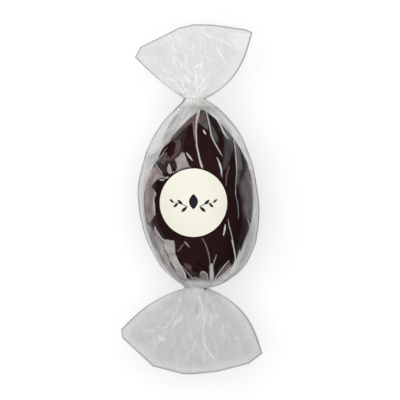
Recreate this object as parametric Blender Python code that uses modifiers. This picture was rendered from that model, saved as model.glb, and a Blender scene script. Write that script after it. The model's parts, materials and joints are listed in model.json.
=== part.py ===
"""A chocolate-coated marzipan egg, twisted into clear film, with a round label.

Metres, +Z up. The sweet lies on its back with the label up. Its long axis runs
along Y, and its narrow end points to +Y. The origin is on the surface that it
rests on, under the middle of the whole sweet's box.
"""
import math

import bmesh
import bpy
from mathutils import Vector

COLLECTION_NAME = "marzipan_egg"

# The film's body round the egg: an egg-shaped tube that closes to a neck at each end
BODY_HALF_WIDTH = 0.0221
BODY_HEIGHT_RATIO = 0.95
WIDEST_Y = -0.0012
NARROW_END_TAPER = 0.62
NARROW_END_HEIGHT_TAPER = 0.74
BLUNT_END_TAPER = 0.465
BODY_CENTRE_X = 0.0021
BLUNT_END_LEAN = 0.0022
LEAN_STARTS_Y = 0.010
LEAN_ENDS_Y = -0.028
FLAT_DEPTH = 0.00055
AXIS_HEIGHT = BODY_HALF_WIDTH * BODY_HEIGHT_RATIO - FLAT_DEPTH

# Spare film beside the narrow end, drawn flat in a margin on the left of the egg
MARGIN_FLATTENING = 0.84
MARGIN_STARTS_ACROSS = 0.18
MARGIN_IS_FLAT_ACROSS = 0.92
MARGIN_STARTS_Y = 0.008
MARGIN_IS_FLAT_Y = 0.019
MARGIN_FADES_Y = 0.031

# The two twisted necks
TOP_NECK_X = 0.0013
TOP_NECK_Y = 0.0379
TOP_NECK_HALF_WIDTH = 0.0041
BOTTOM_NECK_X = 0.0016
BOTTOM_NECK_Y = -0.0331
BOTTOM_NECK_HALF_WIDTH = 0.0043
NECK_HEIGHT_RATIO = 0.80
NECK_BLEND = 3.0

# Gathers: how many go round, how deep, and how far they reach from a neck
GATHERS = ((7, 0.42, 0.4), (12, 0.38, 2.1), (17, 0.20, 4.4))
GATHER_DEPTH_AT_NECK = 0.0011
GATHER_DEPTH_AT_MIDDLE = 0.00022
GATHER_REACH = 0.0085
GATHER_TWIST = 9.0

# Fans: the free edge's corners from left to right, seen from above, and the
# outward bow of the left and right sides
TOP_EDGE = (
    (-0.0212, 0.0532),
    (-0.0192, 0.0571),
    (-0.0046, 0.0644),
    (0.0008, 0.0656),
    (0.0078, 0.0655),
    (0.0200, 0.0638),
    (0.0227, 0.0626),
)
TOP_SIDE_BOWS = (0.0006, 0.0034)
BOTTOM_EDGE = (
    (-0.0266, -0.0488),
    (-0.0261, -0.0520),
    (-0.0146, -0.0626),
    (-0.0032, -0.0656),
    (0.0010, -0.0656),
    (0.0094, -0.0647),
    (0.0215, -0.0616),
    (0.0266, -0.0578),
)
BOTTOM_SIDE_BOWS = (0.0022, 0.0041)
FAN_THICKNESS = 0.0013
FAN_THINS_OVER = 0.35
FAN_EVENS_OUT_OVER = 0.4
BOW_POWER = 3
PLEATS = ((2, 0.50, 0.9), (3, 0.34, 2.6), (5, 0.16, 5.2))
PLEAT_DEPTH = 0.0009
PLEATS_DEEPEN = 0.8
TOP_PLEAT_PHASE = 0.0
BOTTOM_PLEAT_PHASE = 1.7
TOP_FAN_LIFT = 0.0022
BOTTOM_FAN_LIFT = -0.0026

# The round label, seen from above
LABEL_HALF_WIDTH = 0.0123
LABEL_HALF_LENGTH = 0.0125
LABEL_X = 0.0007
LABEL_Y = -0.0011
LABEL_THICKNESS = 0.0003
LABEL_GAP = 0.0003
SMOOTH_PAST_LABEL = (1.05, 1.45)
LABEL_RINGS = 7
LABEL_SIDES = 56

# Facets
POINTS_ROUND = 84
BODY_RINGS = 34
EVEN_RING_SHARE = 0.25
FAN_RINGS = 9


def clear_scene():
    """Remove whatever the file holds."""
    for item in list(bpy.data.objects):
        bpy.data.objects.remove(item, do_unlink=True)


def material(name, colour, roughness, alpha=1.0):
    """Return a plain material for one sub-part."""
    finish = bpy.data.materials.new(name)
    finish.use_nodes = True
    shader = finish.node_tree.nodes["Principled BSDF"]
    shader.inputs["Base Color"].default_value = (*colour, 1.0)
    shader.inputs["Roughness"].default_value = roughness
    shader.inputs["Metallic"].default_value = 0.0
    shader.inputs["Alpha"].default_value = alpha
    return finish


def mix(low, high, share):
    """Return the value at a share of the way from low to high."""
    return low + (high - low) * share


def smooth_step(value, start, end):
    """Rise smoothly from 0 at start to 1 at end."""
    share = min(max((value - start) / (end - start), 0.0), 1.0)
    return share * share * (3.0 - 2.0 * share)


def sum_of_waves(waves, angle):
    """Add sine waves given as (count, share, phase)."""
    return sum(share * math.sin(count * angle + phase) for count, share, phase in waves)


def neck_share(y):
    """Return 0 at the lower neck and 1 at the upper one."""
    return (y - BOTTOM_NECK_Y) / (TOP_NECK_Y - BOTTOM_NECK_Y)


def neck_half_width(y):
    """Return the half-width that the body closes to at y."""
    return mix(BOTTOM_NECK_HALF_WIDTH, TOP_NECK_HALF_WIDTH, neck_share(y))


def egg_half_sizes(y):
    """Return the half-width and half-height at y of an egg whose ends are the two necks."""
    if y > WIDEST_Y:
        reach = min((y - WIDEST_Y) / (TOP_NECK_Y - WIDEST_Y), 1.0)
        tapers = (NARROW_END_TAPER, NARROW_END_HEIGHT_TAPER)
    else:
        reach = min((y - WIDEST_Y) / (BOTTOM_NECK_Y - WIDEST_Y), 1.0)
        tapers = (BLUNT_END_TAPER, BLUNT_END_TAPER)
    half_width, half_height = (BODY_HALF_WIDTH * (1.0 - reach * reach) ** taper for taper in tapers)
    return half_width, half_height * BODY_HEIGHT_RATIO


def blend(egg, neck):
    """Join the egg's size and the neck's so that the larger one leads."""
    return (egg ** NECK_BLEND + neck ** NECK_BLEND) ** (1.0 / NECK_BLEND)


def body_section(y):
    """Return the centre x, half-width and half-height of the film's body at y."""
    egg_width, egg_height = egg_half_sizes(y)
    neck = neck_half_width(y)
    half_width = blend(egg_width, neck)
    half_height = blend(egg_height, neck * NECK_HEIGHT_RATIO)
    lean = BLUNT_END_LEAN * smooth_step(-y, -LEAN_STARTS_Y, -LEAN_ENDS_Y)
    egg_share = 1.0 - (neck / half_width) ** NECK_BLEND
    neck_x = mix(BOTTOM_NECK_X, TOP_NECK_X, neck_share(y))
    centre_x = mix(neck_x, BODY_CENTRE_X + lean, max(egg_share, 0.0))
    return centre_x, half_width, half_height


def height_left(across, y):
    """Return the share of its height that the body keeps; across is -1 at its left side."""
    beside_egg = smooth_step(-across, MARGIN_STARTS_ACROSS, MARGIN_IS_FLAT_ACROSS)
    starts = smooth_step(y, MARGIN_STARTS_Y, MARGIN_IS_FLAT_Y)
    fades = smooth_step(y, MARGIN_FADES_Y, TOP_NECK_Y)
    return 1.0 - MARGIN_FLATTENING * beside_egg * starts * (1.0 - fades)


def label_cover(x, y):
    """Return 1 under the label, falling to 0 a little way outside it."""
    across = (x - LABEL_X) / LABEL_HALF_WIDTH
    along = (y - LABEL_Y) / LABEL_HALF_LENGTH
    return 1.0 - smooth_step(math.hypot(across, along), *SMOOTH_PAST_LABEL)


def gather_depth(y):
    """Return how deep the film's gathers are at y."""
    to_neck = min(TOP_NECK_Y - y, y - BOTTOM_NECK_Y)
    fade = math.exp(-max(to_neck, 0.0) / GATHER_REACH)
    return mix(GATHER_DEPTH_AT_MIDDLE, GATHER_DEPTH_AT_NECK, fade)


def body_ring(y):
    """Return one ring of points round the film's body, from +X over the top."""
    centre_x, half_width, half_height = body_section(y)
    ring = []
    for index in range(POINTS_ROUND):
        angle = 2.0 * math.pi * index / POINTS_ROUND
        relief = gather_depth(y) * sum_of_waves(GATHERS, angle + GATHER_TWIST * y)
        x = centre_x + half_width * math.cos(angle)
        if math.sin(angle) > 0.0:
            relief *= 1.0 - label_cover(x, y)
        x += relief * math.cos(angle)
        upright = (half_height + relief) * height_left(math.cos(angle), y)
        z = AXIS_HEIGHT + upright * math.sin(angle)
        ring.append(Vector((x, y, max(z, 0.0))))
    return ring


def point_on_edge(corners, share):
    """Return the point at a share of the way along a row of corners."""
    lengths = [math.dist(a, b) for a, b in zip(corners, corners[1:])]
    remaining = share * sum(lengths)
    for (start, end), length in zip(zip(corners, corners[1:]), lengths):
        if remaining <= length:
            along = remaining / length
            return mix(start[0], end[0], along), mix(start[1], end[1], along)
        remaining -= length
    return corners[-1]


def fan_point(fan, across, out, side):
    """Return a point of a fan.

    across runs from -1 at the left to 1 at the right, out from 0 at the neck to
    1 at the free edge, and side is 1 on the upper face and -1 on the lower one.
    """
    edge_x, edge_y = point_on_edge(fan["edge"], 0.5 + 0.5 * across)
    start_x = fan["x"] + fan["neck"] * across
    bow = fan["bows"][0] if across < 0.0 else fan["bows"][1]
    swell = bow * abs(across) ** BOW_POWER * math.sin(math.pi * out)
    x = mix(start_x, edge_x, out) + math.copysign(swell, across)
    y = mix(fan["y"], edge_y, out) - math.copysign(0.5 * swell, fan["y"])
    depth = PLEAT_DEPTH * out ** PLEATS_DEEPEN
    pleat = depth * sum_of_waves(PLEATS, math.pi * across + fan["phase"])
    middle = AXIS_HEIGHT + fan["lift"] * out * out + pleat
    round_height = fan["neck"] * NECK_HEIGHT_RATIO * math.sqrt(max(1.0 - across * across, 0.0))
    flatness = smooth_step(out, 0.0, FAN_THINS_OVER)
    half = mix(round_height, 0.5 * FAN_THICKNESS, flatness)
    return Vector((x, y, middle + side * half))


def fan_ring(fan, out):
    """Return one ring of a fan: along its upper face from the right, and back below."""
    half_count = POINTS_ROUND // 2
    ring = []
    for index in range(POINTS_ROUND):
        angle = 2.0 * math.pi * index / POINTS_ROUND
        fold = index if index <= half_count else POINTS_ROUND - index
        even = 1.0 - 2.0 * fold / half_count
        across = mix(math.cos(angle), even, smooth_step(out, 0.0, FAN_EVENS_OUT_OVER))
        side = 1.0 if 0 < index < half_count else -1.0
        if index in (0, half_count):
            side = 0.0
        ring.append(fan_point(fan, across, out, side))
    return ring


def wrapper_rings():
    """Return every ring of the film, from the lower fan's free edge to the upper one's."""
    top = {"x": TOP_NECK_X, "y": TOP_NECK_Y, "neck": TOP_NECK_HALF_WIDTH, "edge": TOP_EDGE,
           "bows": TOP_SIDE_BOWS, "lift": TOP_FAN_LIFT, "phase": TOP_PLEAT_PHASE}
    bottom = {"x": BOTTOM_NECK_X, "y": BOTTOM_NECK_Y, "neck": BOTTOM_NECK_HALF_WIDTH,
              "edge": BOTTOM_EDGE, "bows": BOTTOM_SIDE_BOWS, "lift": BOTTOM_FAN_LIFT,
              "phase": BOTTOM_PLEAT_PHASE}
    steps = [step / FAN_RINGS for step in range(1, FAN_RINGS + 1)]
    rings = [fan_ring(bottom, out) for out in reversed(steps)]
    for index in range(BODY_RINGS):
        turn = math.pi * index / (BODY_RINGS - 1)
        share = mix(0.5 - 0.5 * math.cos(turn), turn / math.pi, EVEN_RING_SHARE)
        rings.append(body_ring(mix(BOTTOM_NECK_Y, TOP_NECK_Y, share)))
    rings += [fan_ring(top, out) for out in steps]
    return rings


def add_end(mesh, ring):
    """Close a free edge with a strip between its upper and lower points."""
    half_count = POINTS_ROUND // 2
    for index in range(half_count):
        corners = [ring[index], ring[index + 1], ring[-index - 1]]
        if index > 0:
            corners.append(ring[-index])
        corners = [corner for place, corner in enumerate(corners) if corner not in corners[:place]]
        mesh.faces.new(corners)


def make_wrapper(collection):
    """Make the film's body, necks and fans as one closed solid, lofted ring by ring."""
    mesh = bmesh.new()
    rings = [[mesh.verts.new(point) for point in ring] for ring in wrapper_rings()]
    half_count = POINTS_ROUND // 2
    for low, high in zip(rings, rings[1:]):
        for index in range(POINTS_ROUND):
            following = (index + 1) % POINTS_ROUND
            a, b, c, d = low[index], low[following], high[following], high[index]
            if index < half_count:
                mesh.faces.new((a, b, c))
                mesh.faces.new((a, c, d))
            else:
                mesh.faces.new((a, b, d))
                mesh.faces.new((b, c, d))
    add_end(mesh, rings[0])
    add_end(mesh, rings[-1])
    bmesh.ops.recalc_face_normals(mesh, faces=mesh.faces)
    return finish_object("wrapper", mesh, collection, material("clear_film", (0.80, 0.80, 0.79), 0.2, 0.35))


def label_height(x, y):
    """Return the height of the label's lower face over the point x, y."""
    centre_x, half_width, half_height = body_section(y)
    across = (x - centre_x) / half_width
    rise = math.sqrt(1.0 - across * across)
    upright = rise / math.hypot(rise, across)
    film_height = half_height * rise * height_left(across, y)
    return AXIS_HEIGHT + film_height + LABEL_GAP / upright


def make_label(collection):
    """Make the round label: a turned disc laid over the film and given its thickness."""
    mesh = bmesh.new()
    line = [mesh.verts.new((step / LABEL_RINGS, 0.0, 0.0)) for step in range(LABEL_RINGS + 1)]
    edges = [mesh.edges.new(pair) for pair in zip(line, line[1:])]
    bmesh.ops.spin(mesh, geom=line + edges, axis=(0.0, 0.0, 1.0), cent=(0.0, 0.0, 0.0),
                   steps=LABEL_SIDES, angle=2.0 * math.pi, use_merge=True)
    bmesh.ops.remove_doubles(mesh, verts=mesh.verts, dist=0.001)
    for vertex in mesh.verts:
        vertex.co.x = LABEL_X + LABEL_HALF_WIDTH * vertex.co.x
        vertex.co.y = LABEL_Y + LABEL_HALF_LENGTH * vertex.co.y
        vertex.co.z = label_height(vertex.co.x, vertex.co.y)
    bmesh.ops.recalc_face_normals(mesh, faces=mesh.faces)
    if sum(face.normal.z for face in mesh.faces) < 0.0:
        bmesh.ops.reverse_faces(mesh, faces=mesh.faces)
    label = finish_object("label", mesh, collection, material("label_paper", (0.92, 0.90, 0.77), 0.6))
    wall = label.modifiers.new("Thickness", "SOLIDIFY")
    wall.thickness = LABEL_THICKNESS
    wall.offset = 1.0
    return label


def finish_object(name, mesh, collection, finish):
    """Turn a bmesh into a named, smooth-shaded object in the collection."""
    data = bpy.data.meshes.new(name)
    mesh.to_mesh(data)
    mesh.free()
    data.materials.append(finish)
    data.shade_smooth()
    item = bpy.data.objects.new(name, data)
    collection.objects.link(item)
    return item


def main():
    """Build the wrapped egg in a collection of its own."""
    clear_scene()
    collection = bpy.data.collections.new(COLLECTION_NAME)
    bpy.context.scene.collection.children.link(collection)
    make_wrapper(collection)
    make_label(collection)


main()
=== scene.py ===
# %% [markdown]
# # A wrapped marzipan egg
# The sweet is an egg of marzipan in dark chocolate. It is rolled in a sheet of clear film
# whose two ends are twisted shut and left to spread as pleated fans, and a round paper label
# is stuck on top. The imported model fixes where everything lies, and this script dresses it.
# Each step models one piece or makes one finish, and says why it's made that way.

# %% The frame
import json
import math

import bpy
import numpy as np
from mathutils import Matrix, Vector

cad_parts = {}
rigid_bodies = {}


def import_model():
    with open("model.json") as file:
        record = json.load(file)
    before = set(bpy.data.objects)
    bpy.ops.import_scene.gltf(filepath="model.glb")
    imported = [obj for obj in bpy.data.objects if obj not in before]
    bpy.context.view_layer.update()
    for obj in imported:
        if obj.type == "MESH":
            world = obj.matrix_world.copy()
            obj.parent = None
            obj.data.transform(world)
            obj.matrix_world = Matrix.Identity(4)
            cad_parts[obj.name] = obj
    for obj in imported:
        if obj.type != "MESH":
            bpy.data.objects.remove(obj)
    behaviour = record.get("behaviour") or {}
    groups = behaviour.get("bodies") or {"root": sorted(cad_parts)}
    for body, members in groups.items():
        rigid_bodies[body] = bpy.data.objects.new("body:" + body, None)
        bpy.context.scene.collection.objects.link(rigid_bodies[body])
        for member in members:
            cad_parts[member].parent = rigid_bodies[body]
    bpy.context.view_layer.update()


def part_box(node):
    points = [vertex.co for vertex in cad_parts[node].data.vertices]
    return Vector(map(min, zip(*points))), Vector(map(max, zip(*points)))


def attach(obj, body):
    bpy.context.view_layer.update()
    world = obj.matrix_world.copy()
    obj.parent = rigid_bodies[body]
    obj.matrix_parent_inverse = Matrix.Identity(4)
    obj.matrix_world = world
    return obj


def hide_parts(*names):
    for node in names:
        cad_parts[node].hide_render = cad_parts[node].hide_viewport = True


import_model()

MM = 0.001
wrapper_low, wrapper_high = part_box("wrapper")
label_low, label_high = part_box("label")
print("wrapper box, mm:", [round(v / MM, 1) for v in (*wrapper_low, *wrapper_high)])
print("label box, mm:", [round(v / MM, 1) for v in (*label_low, *label_high)])

# %% [markdown]
# ## Sizes of the film
# Lengths are in metres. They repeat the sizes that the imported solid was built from, because
# the film has to follow its body, its two necks and the flat margin at its upper left. A neck
# is given by the x and y of its middle.

# %% Sizes of the film
BODY_HALF_WIDTH = 0.0221
BODY_HEIGHT_RATIO = 0.95
WIDEST_Y = -0.0012
NARROW_END_TAPER = 0.62
NARROW_END_HEIGHT_TAPER = 0.74
BLUNT_END_TAPER = 0.465
BODY_CENTRE_X = 0.0021
BLUNT_END_LEAN = 0.0022
AXIS_HEIGHT = wrapper_high[2] - BODY_HALF_WIDTH * BODY_HEIGHT_RATIO

TOP_NECK = (0.0013, 0.0379)
TOP_NECK_HALF_WIDTH = 0.0041
BOTTOM_NECK = (0.0016, -0.0331)
BOTTOM_NECK_HALF_WIDTH = 0.0043
NECK_HEIGHT_RATIO = 0.80

MARGIN_FLATTENING = 0.84
MARGIN_STARTS_ACROSS = 0.18
MARGIN_IS_FLAT_ACROSS = 0.92
MARGIN_STARTS_Y = 0.008
MARGIN_IS_FLAT_Y = 0.019
MARGIN_FADES_Y = 0.031
print("axis height, mm:", round(AXIS_HEIGHT / MM, 2))

# %% [markdown]
# ## Sizes of the egg and the label
# The egg is a little smaller than the film's body and lies nearer its right side, so that the
# film stands off it on the left. The label is all but round, and seen from above it looks
# slightly narrower than it is long, because it bends over the film.

# %% Sizes of the egg and the label
EGG_CENTRE_X = 0.0033
EGG_LEAN = 0.0007
EGG_HALF_WIDTH = 0.0197
EGG_HALF_HEIGHT = 0.0201
EGG_CENTRE_HEIGHT = AXIS_HEIGHT + 0.0002
EGG_TOP_Y = 0.0340
EGG_BOTTOM_Y = -0.0314
EGG_TAPER = 2.4
EGG_TIP_ROUNDING = 0.95
EGG_BULGE = 0.0017
EGG_BULGE_Y = 0.0005
EGG_BULGE_UP = 0.0100
EGG_BULGE_DOWN = 0.0260

LABEL_CENTRE = (0.0007, -0.0011)
LABEL_HALF_WIDTH = 0.0123
LABEL_HALF_LENGTH = 0.0125
print("egg length, mm:", round((EGG_TOP_Y - EGG_BOTTOM_Y) / MM, 1))

# %% [markdown]
# ## Blends and waves
# A form that swells, narrows or fades is written as a few blends between known values. These
# helpers take single numbers and whole rows of points alike, which keeps them quick.

# %% Blends and waves
def smooth_step(value, start, end):
    """Rise smoothly from 0 at start to 1 at end, for numbers or arrays."""
    share = np.clip((value - start) / (end - start), 0.0, 1.0)
    return share * share * (3.0 - 2.0 * share)


def mix(low, high, share):
    """Return the value at a share of the way from low to high."""
    return low + (high - low) * share


def sum_of_waves(waves, angle):
    """Add sine waves given as (count, share, phase)."""
    return sum(share * np.sin(count * angle + phase) for count, share, phase in waves)


print("a smooth step, a quarter of the way:", smooth_step(0.25, 0.0, 1.0))

# %% [markdown]
# ## Points and marks
# A film tube or an egg starts as a primitive with even rows of points. Each row is then moved
# to its place by a formula, which is quicker and smoother than pulling thousands of points.
# A mesh can also carry marks: one number for each point, which a material reads by its name.

# %% Points and marks
def positions(piece):
    """Return a piece's points as an array with a row for each."""
    flat = np.empty(len(piece.data.vertices) * 3)
    piece.data.vertices.foreach_get("co", flat)
    return flat.reshape(-1, 3)


def move_points(piece, points):
    """Put a piece's points where the array says."""
    piece.data.vertices.foreach_set("co", np.ascontiguousarray(points, dtype=np.float32).ravel())
    piece.data.update()


def store(piece, name, values):
    """Keep one number for each point under a name that a material can read."""
    layer = piece.data.attributes.new(name, "FLOAT", "POINT")
    layer.data.foreach_set("value", np.ascontiguousarray(values, dtype=np.float32))


print("points in the packed wrapper:", len(positions(bpy.data.objects["wrapper"])))

# %% [markdown]
# ## Starting and closing a mesh
# An operator acts on all that is selected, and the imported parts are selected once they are
# loaded, so each operator is called with its own piece alone. A new grid is moved so that it
# runs from 0 to 1 both ways: a point's x and y are then shares of the way round and along,
# which a formula can turn into any curved sheet. Where the sheet's sides meet, their points
# are merged, and the faces are turned outwards.

# %% Starting and closing a mesh
def take_new(name):
    """Name the primitive that was just added."""
    piece = bpy.context.object
    piece.name = piece.data.name = name
    return piece


def on_its_own(piece):
    """Select this piece alone."""
    bpy.ops.object.select_all(action="DESELECT")
    piece.select_set(True)
    bpy.context.view_layer.objects.active = piece


def unit_grid(name, columns, rows):
    """Add a grid whose X and Y run from 0 to 1."""
    bpy.ops.object.select_all(action="DESELECT")
    bpy.ops.mesh.primitive_grid_add(x_subdivisions=columns, y_subdivisions=rows, size=1.0,
                                    location=(0.5, 0.5, 0.0))
    piece = take_new(name)
    bpy.ops.object.transform_apply(location=True, rotation=True, scale=True)
    return piece


def close_seams(piece, distance):
    """Merge points that lie together and turn all faces outwards."""
    on_its_own(piece)
    bpy.ops.object.mode_set(mode="EDIT")
    bpy.ops.mesh.select_all(action="SELECT")
    bpy.ops.mesh.remove_doubles(threshold=distance)
    bpy.ops.mesh.normals_make_consistent(inside=False)
    bpy.ops.object.mode_set(mode="OBJECT")
    print(piece.name, "faces:", len(piece.data.polygons))


print("selected once the frame is loaded:", [item.name for item in bpy.context.selected_objects])

# %% [markdown]
# ## The form of the film's body
# Seen from above, the body is two half eggs that share their widest line. At each neck the
# section doesn't shrink to a point but closes on the neck's own radius. At its upper left the
# film isn't filled by the egg, so it lies almost flat there as a pale margin.

# %% Section of the film's body
LEAN_SPAN = (-0.010, 0.028)


def body_section(y):
    """Return the centre x, half-width and half-height of the film's body at y."""
    narrow = y > WIDEST_Y
    end_y = np.where(narrow, TOP_NECK[1], BOTTOM_NECK[1])
    reach = np.clip((y - WIDEST_Y) / (end_y - WIDEST_Y), 0.0, 1.0)
    left = 1.0 - reach ** 2
    width_taper = np.where(narrow, NARROW_END_TAPER, BLUNT_END_TAPER)
    height_taper = np.where(narrow, NARROW_END_HEIGHT_TAPER, BLUNT_END_TAPER)
    egg_width = BODY_HALF_WIDTH * left ** width_taper
    egg_height = BODY_HALF_WIDTH * left ** height_taper * BODY_HEIGHT_RATIO
    share = (y - BOTTOM_NECK[1]) / (TOP_NECK[1] - BOTTOM_NECK[1])
    neck = mix(BOTTOM_NECK_HALF_WIDTH, TOP_NECK_HALF_WIDTH, share)
    half_width = np.cbrt(egg_width ** 3 + neck ** 3)
    half_height = np.cbrt(egg_height ** 3 + (neck * NECK_HEIGHT_RATIO) ** 3)
    lean = BLUNT_END_LEAN * smooth_step(-y, *LEAN_SPAN)
    egg_share = np.clip(1.0 - (neck / half_width) ** 3, 0.0, 1.0)
    neck_line = mix(BOTTOM_NECK[0], TOP_NECK[0], share)
    return mix(neck_line, BODY_CENTRE_X + lean, egg_share), half_width, half_height


def height_left(across, y):
    """Return the share of its height that the film keeps; across is -1 at its left side."""
    beside_egg = smooth_step(-across, MARGIN_STARTS_ACROSS, MARGIN_IS_FLAT_ACROSS)
    starts = smooth_step(y, MARGIN_STARTS_Y, MARGIN_IS_FLAT_Y)
    fades = smooth_step(y, MARGIN_FADES_Y, TOP_NECK[1])
    return 1.0 - MARGIN_FLATTENING * beside_egg * starts * (1.0 - fades)


print("film body, mm wide:", round(2.0 * float(body_section(WIDEST_Y)[1]) / MM, 1))

# %% [markdown]
# ## The form of the egg
# The egg's two halves taper differently: the narrow end is pointed and the other is round. A
# dipped egg isn't quite regular, so it is a little fuller at the left, and its skin is wavy
# by a tenth of a millimetre.

# %% Section of the egg
EGG_WAVE_HEIGHT = 0.00012
EGG_WAVES_ALONG = 310.0
EGG_WAVES_ACROSS = 260.0
EGG_LOWEST = 0.0003
TINY = 0.000001


def egg_section(y):
    """Return the centre x, half-width and half-height of the egg at y."""
    length = np.where(y > WIDEST_Y, EGG_TOP_Y - WIDEST_Y, WIDEST_Y - EGG_BOTTOM_Y)
    reach = np.clip((y - WIDEST_Y) / length, -1.0, 1.0)
    pointed = np.clip(1.0 - np.abs(reach) ** EGG_TAPER, 0.0, 1.0) ** EGG_TIP_ROUNDING
    girth = np.where(reach > 0.0, pointed, np.sqrt(1.0 - reach * reach))
    from_bulge = y - EGG_BULGE_Y
    bulge_reach = np.where(from_bulge > 0.0, EGG_BULGE_UP, EGG_BULGE_DOWN)
    bulge = EGG_BULGE * np.exp(-(from_bulge / bulge_reach) ** 2)
    centre_x = EGG_CENTRE_X + EGG_LEAN * reach - 0.5 * bulge
    return centre_x, EGG_HALF_WIDTH * girth + 0.5 * bulge * girth, EGG_HALF_HEIGHT * girth


def egg_points(unit):
    """Turn a unit sphere's points, with its poles on Y, into the egg."""
    x, y, z = unit.T
    ring = np.maximum(np.hypot(x, z), TINY)
    place = WIDEST_Y + y * np.where(y > 0.0, EGG_TOP_Y - WIDEST_Y, WIDEST_Y - EGG_BOTTOM_Y)
    centre_x, half_width, half_height = egg_section(place)
    height = EGG_CENTRE_HEIGHT + half_height * z / ring
    points = np.stack([centre_x + half_width * x / ring, place, height], axis=1)
    wave = EGG_WAVE_HEIGHT * np.sin(EGG_WAVES_ALONG * place + 2.0 * x)
    wave *= np.sin(EGG_WAVES_ACROSS * points[:, 0] + 1.0)
    points += unit * wave[:, None]
    points[:, 2] = np.maximum(points[:, 2], EGG_LOWEST)
    return points


print("egg, mm wide:", round(2.0 * float(egg_section(EGG_BULGE_Y)[1]) / MM, 1))

# %% [markdown]
# ## The chocolate egg
# Marzipan is rolled into an egg by hand and dipped in chocolate. It could be a cube that is
# subdivided and pulled, but a sphere has points bunched at its poles, which suits an egg: the
# poles are its two ends. Each ring of the sphere is moved to the egg's own outline.

# %% Model the egg
bpy.ops.object.select_all(action="DESELECT")
bpy.ops.mesh.primitive_uv_sphere_add(segments=128, ring_count=96, radius=1.0,
                                     rotation=(math.pi / 2.0, 0.0, 0.0))
egg = take_new("chocolate_egg")
bpy.ops.object.transform_apply(location=True, rotation=True, scale=True)
move_points(egg, egg_points(positions(egg)))
bpy.ops.object.shade_smooth()
print("egg faces:", len(egg.data.polygons))

# %% [markdown]
# ## Folds in the film
# Film that is drawn in to a neck gathers into folds that run out over the egg and die away.
# The larger folds are listed along short routes, as a wrapper's fingers would leave
# them, and each stands up as a sharp ridge. A table of routes is easier to change than a
# sculpted mesh. The first part of it holds the folds that start in the upper neck.

# %% Folds from the upper neck
# Each fold: the strength of its painted highlight, then its route as x, y and half-width, in mm
# seen from above
UPPER_FOLDS = (
    # From the upper neck down the middle
    (0.7, (2.8, 33.4, 0.35), (2.2, 30.9, 0.55), (1.8, 28.7, 0.4), (1.6, 25.6, 0.25),
     (1.9, 20.6, 0.15)),
    (0.55, (1.9, 20.6, 0.12), (2.8, 16.2, 0.15), (3.7, 11.8, 0.15)),
    (0.75, (1.7, 20.3, 0.1), (2.6, 16.2, 0.15), (3.3, 13.7, 0.3), (3.9, 11.8, 0.4)),
    (0.35, (0.5, 29.0, 0.15), (1.0, 24.3, 0.18), (1.8, 20.6, 0.12)),
    (0.95, (4.3, 25.8, 0.1), (4.7, 25.1, 0.25), (5.2, 24.3, 0.1)),
    (0.7, (-1.9, 17.3, 0.1), (-0.9, 16.0, 0.35), (0.3, 14.5, 0.12)),
    # From the upper neck to the right
    (0.6, (5.4, 33.4, 0.15), (5.9, 30.9, 0.25), (6.7, 27.4, 0.25), (7.3, 23.7, 0.28),
     (8.6, 20.9, 0.22), (9.8, 18.7, 0.25), (11.2, 16.3, 0.1)),
    (0.7, (6.9, 33.0, 0.2), (8.6, 31.2, 0.4), (10.1, 29.2, 0.45), (10.9, 27.4, 0.35),
     (11.9, 24.9, 0.45), (13.4, 22.7, 0.2)),
    (0.45, (8.3, 32.3, 0.1), (9.4, 30.9, 0.15), (10.3, 29.6, 0.1)),
    (0.7, (15.6, 23.8, 0.12), (15.7, 21.8, 0.3), (16.1, 18.7, 0.25), (16.4, 14.9, 0.28),
     (16.6, 11.2, 0.22)),
    (0.5, (16.5, 13.1, 0.2), (16.6, 9.3, 0.2), (16.2, 5.3, 0.12), (16.2, 1.8, 0.12)),
    (0.3, (16.2, 1.8, 0.1), (17.0, -1.0, 0.18), (17.3, -4.4, 0.15), (17.2, -6.9, 0.1)),
    (0.85, (9.4, 15.5, 0.05), (10.2, 13.7, 0.22), (10.9, 11.5, 0.35)),
    (0.85, (10.4, 13.1, 0.35), (11.0, 11.2, 0.3), (11.2, 8.5, 0.08)),
    (0.2, (13.9, 12.3, 0.12), (12.9, 9.0, 0.2), (12.7, 5.3, 0.1)),
    (0.5, (10.6, 30.9, 0.12), (13.1, 28.1, 0.18), (14.5, 25.6, 0.25), (15.3, 23.7, 0.2)),
    # From the upper neck to the left, and its margin
    (0.35, (0.3, 35.3, 0.25), (-3.8, 32.1, 0.35), (-8.1, 26.8, 0.25), (-11.9, 20.6, 0.2)),
    (0.35, (0.6, 33.4, 0.2), (-3.8, 28.7, 0.3), (-7.5, 24.0, 0.2)),
    (0.6, (-8.3, 20.6, 0.1), (-10.6, 17.4, 0.15), (-13.1, 14.3, 0.2)),
    (0.9, (-10.9, 20.6, 0.1), (-11.9, 18.1, 0.25), (-13.1, 14.6, 0.15)),
    (0.8, (-13.6, 13.8, 0.1), (-14.9, 11.8, 0.25), (-16.9, 9.5, 0.15)),
)
print("folds from the upper neck:", len(UPPER_FOLDS))

# %% [markdown]
# ## Folds beside the label
# Fingers that pressed the label on have left short, steep folds round it. Most are at the
# left, where the film is slack, and some meet in small corners.

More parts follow.
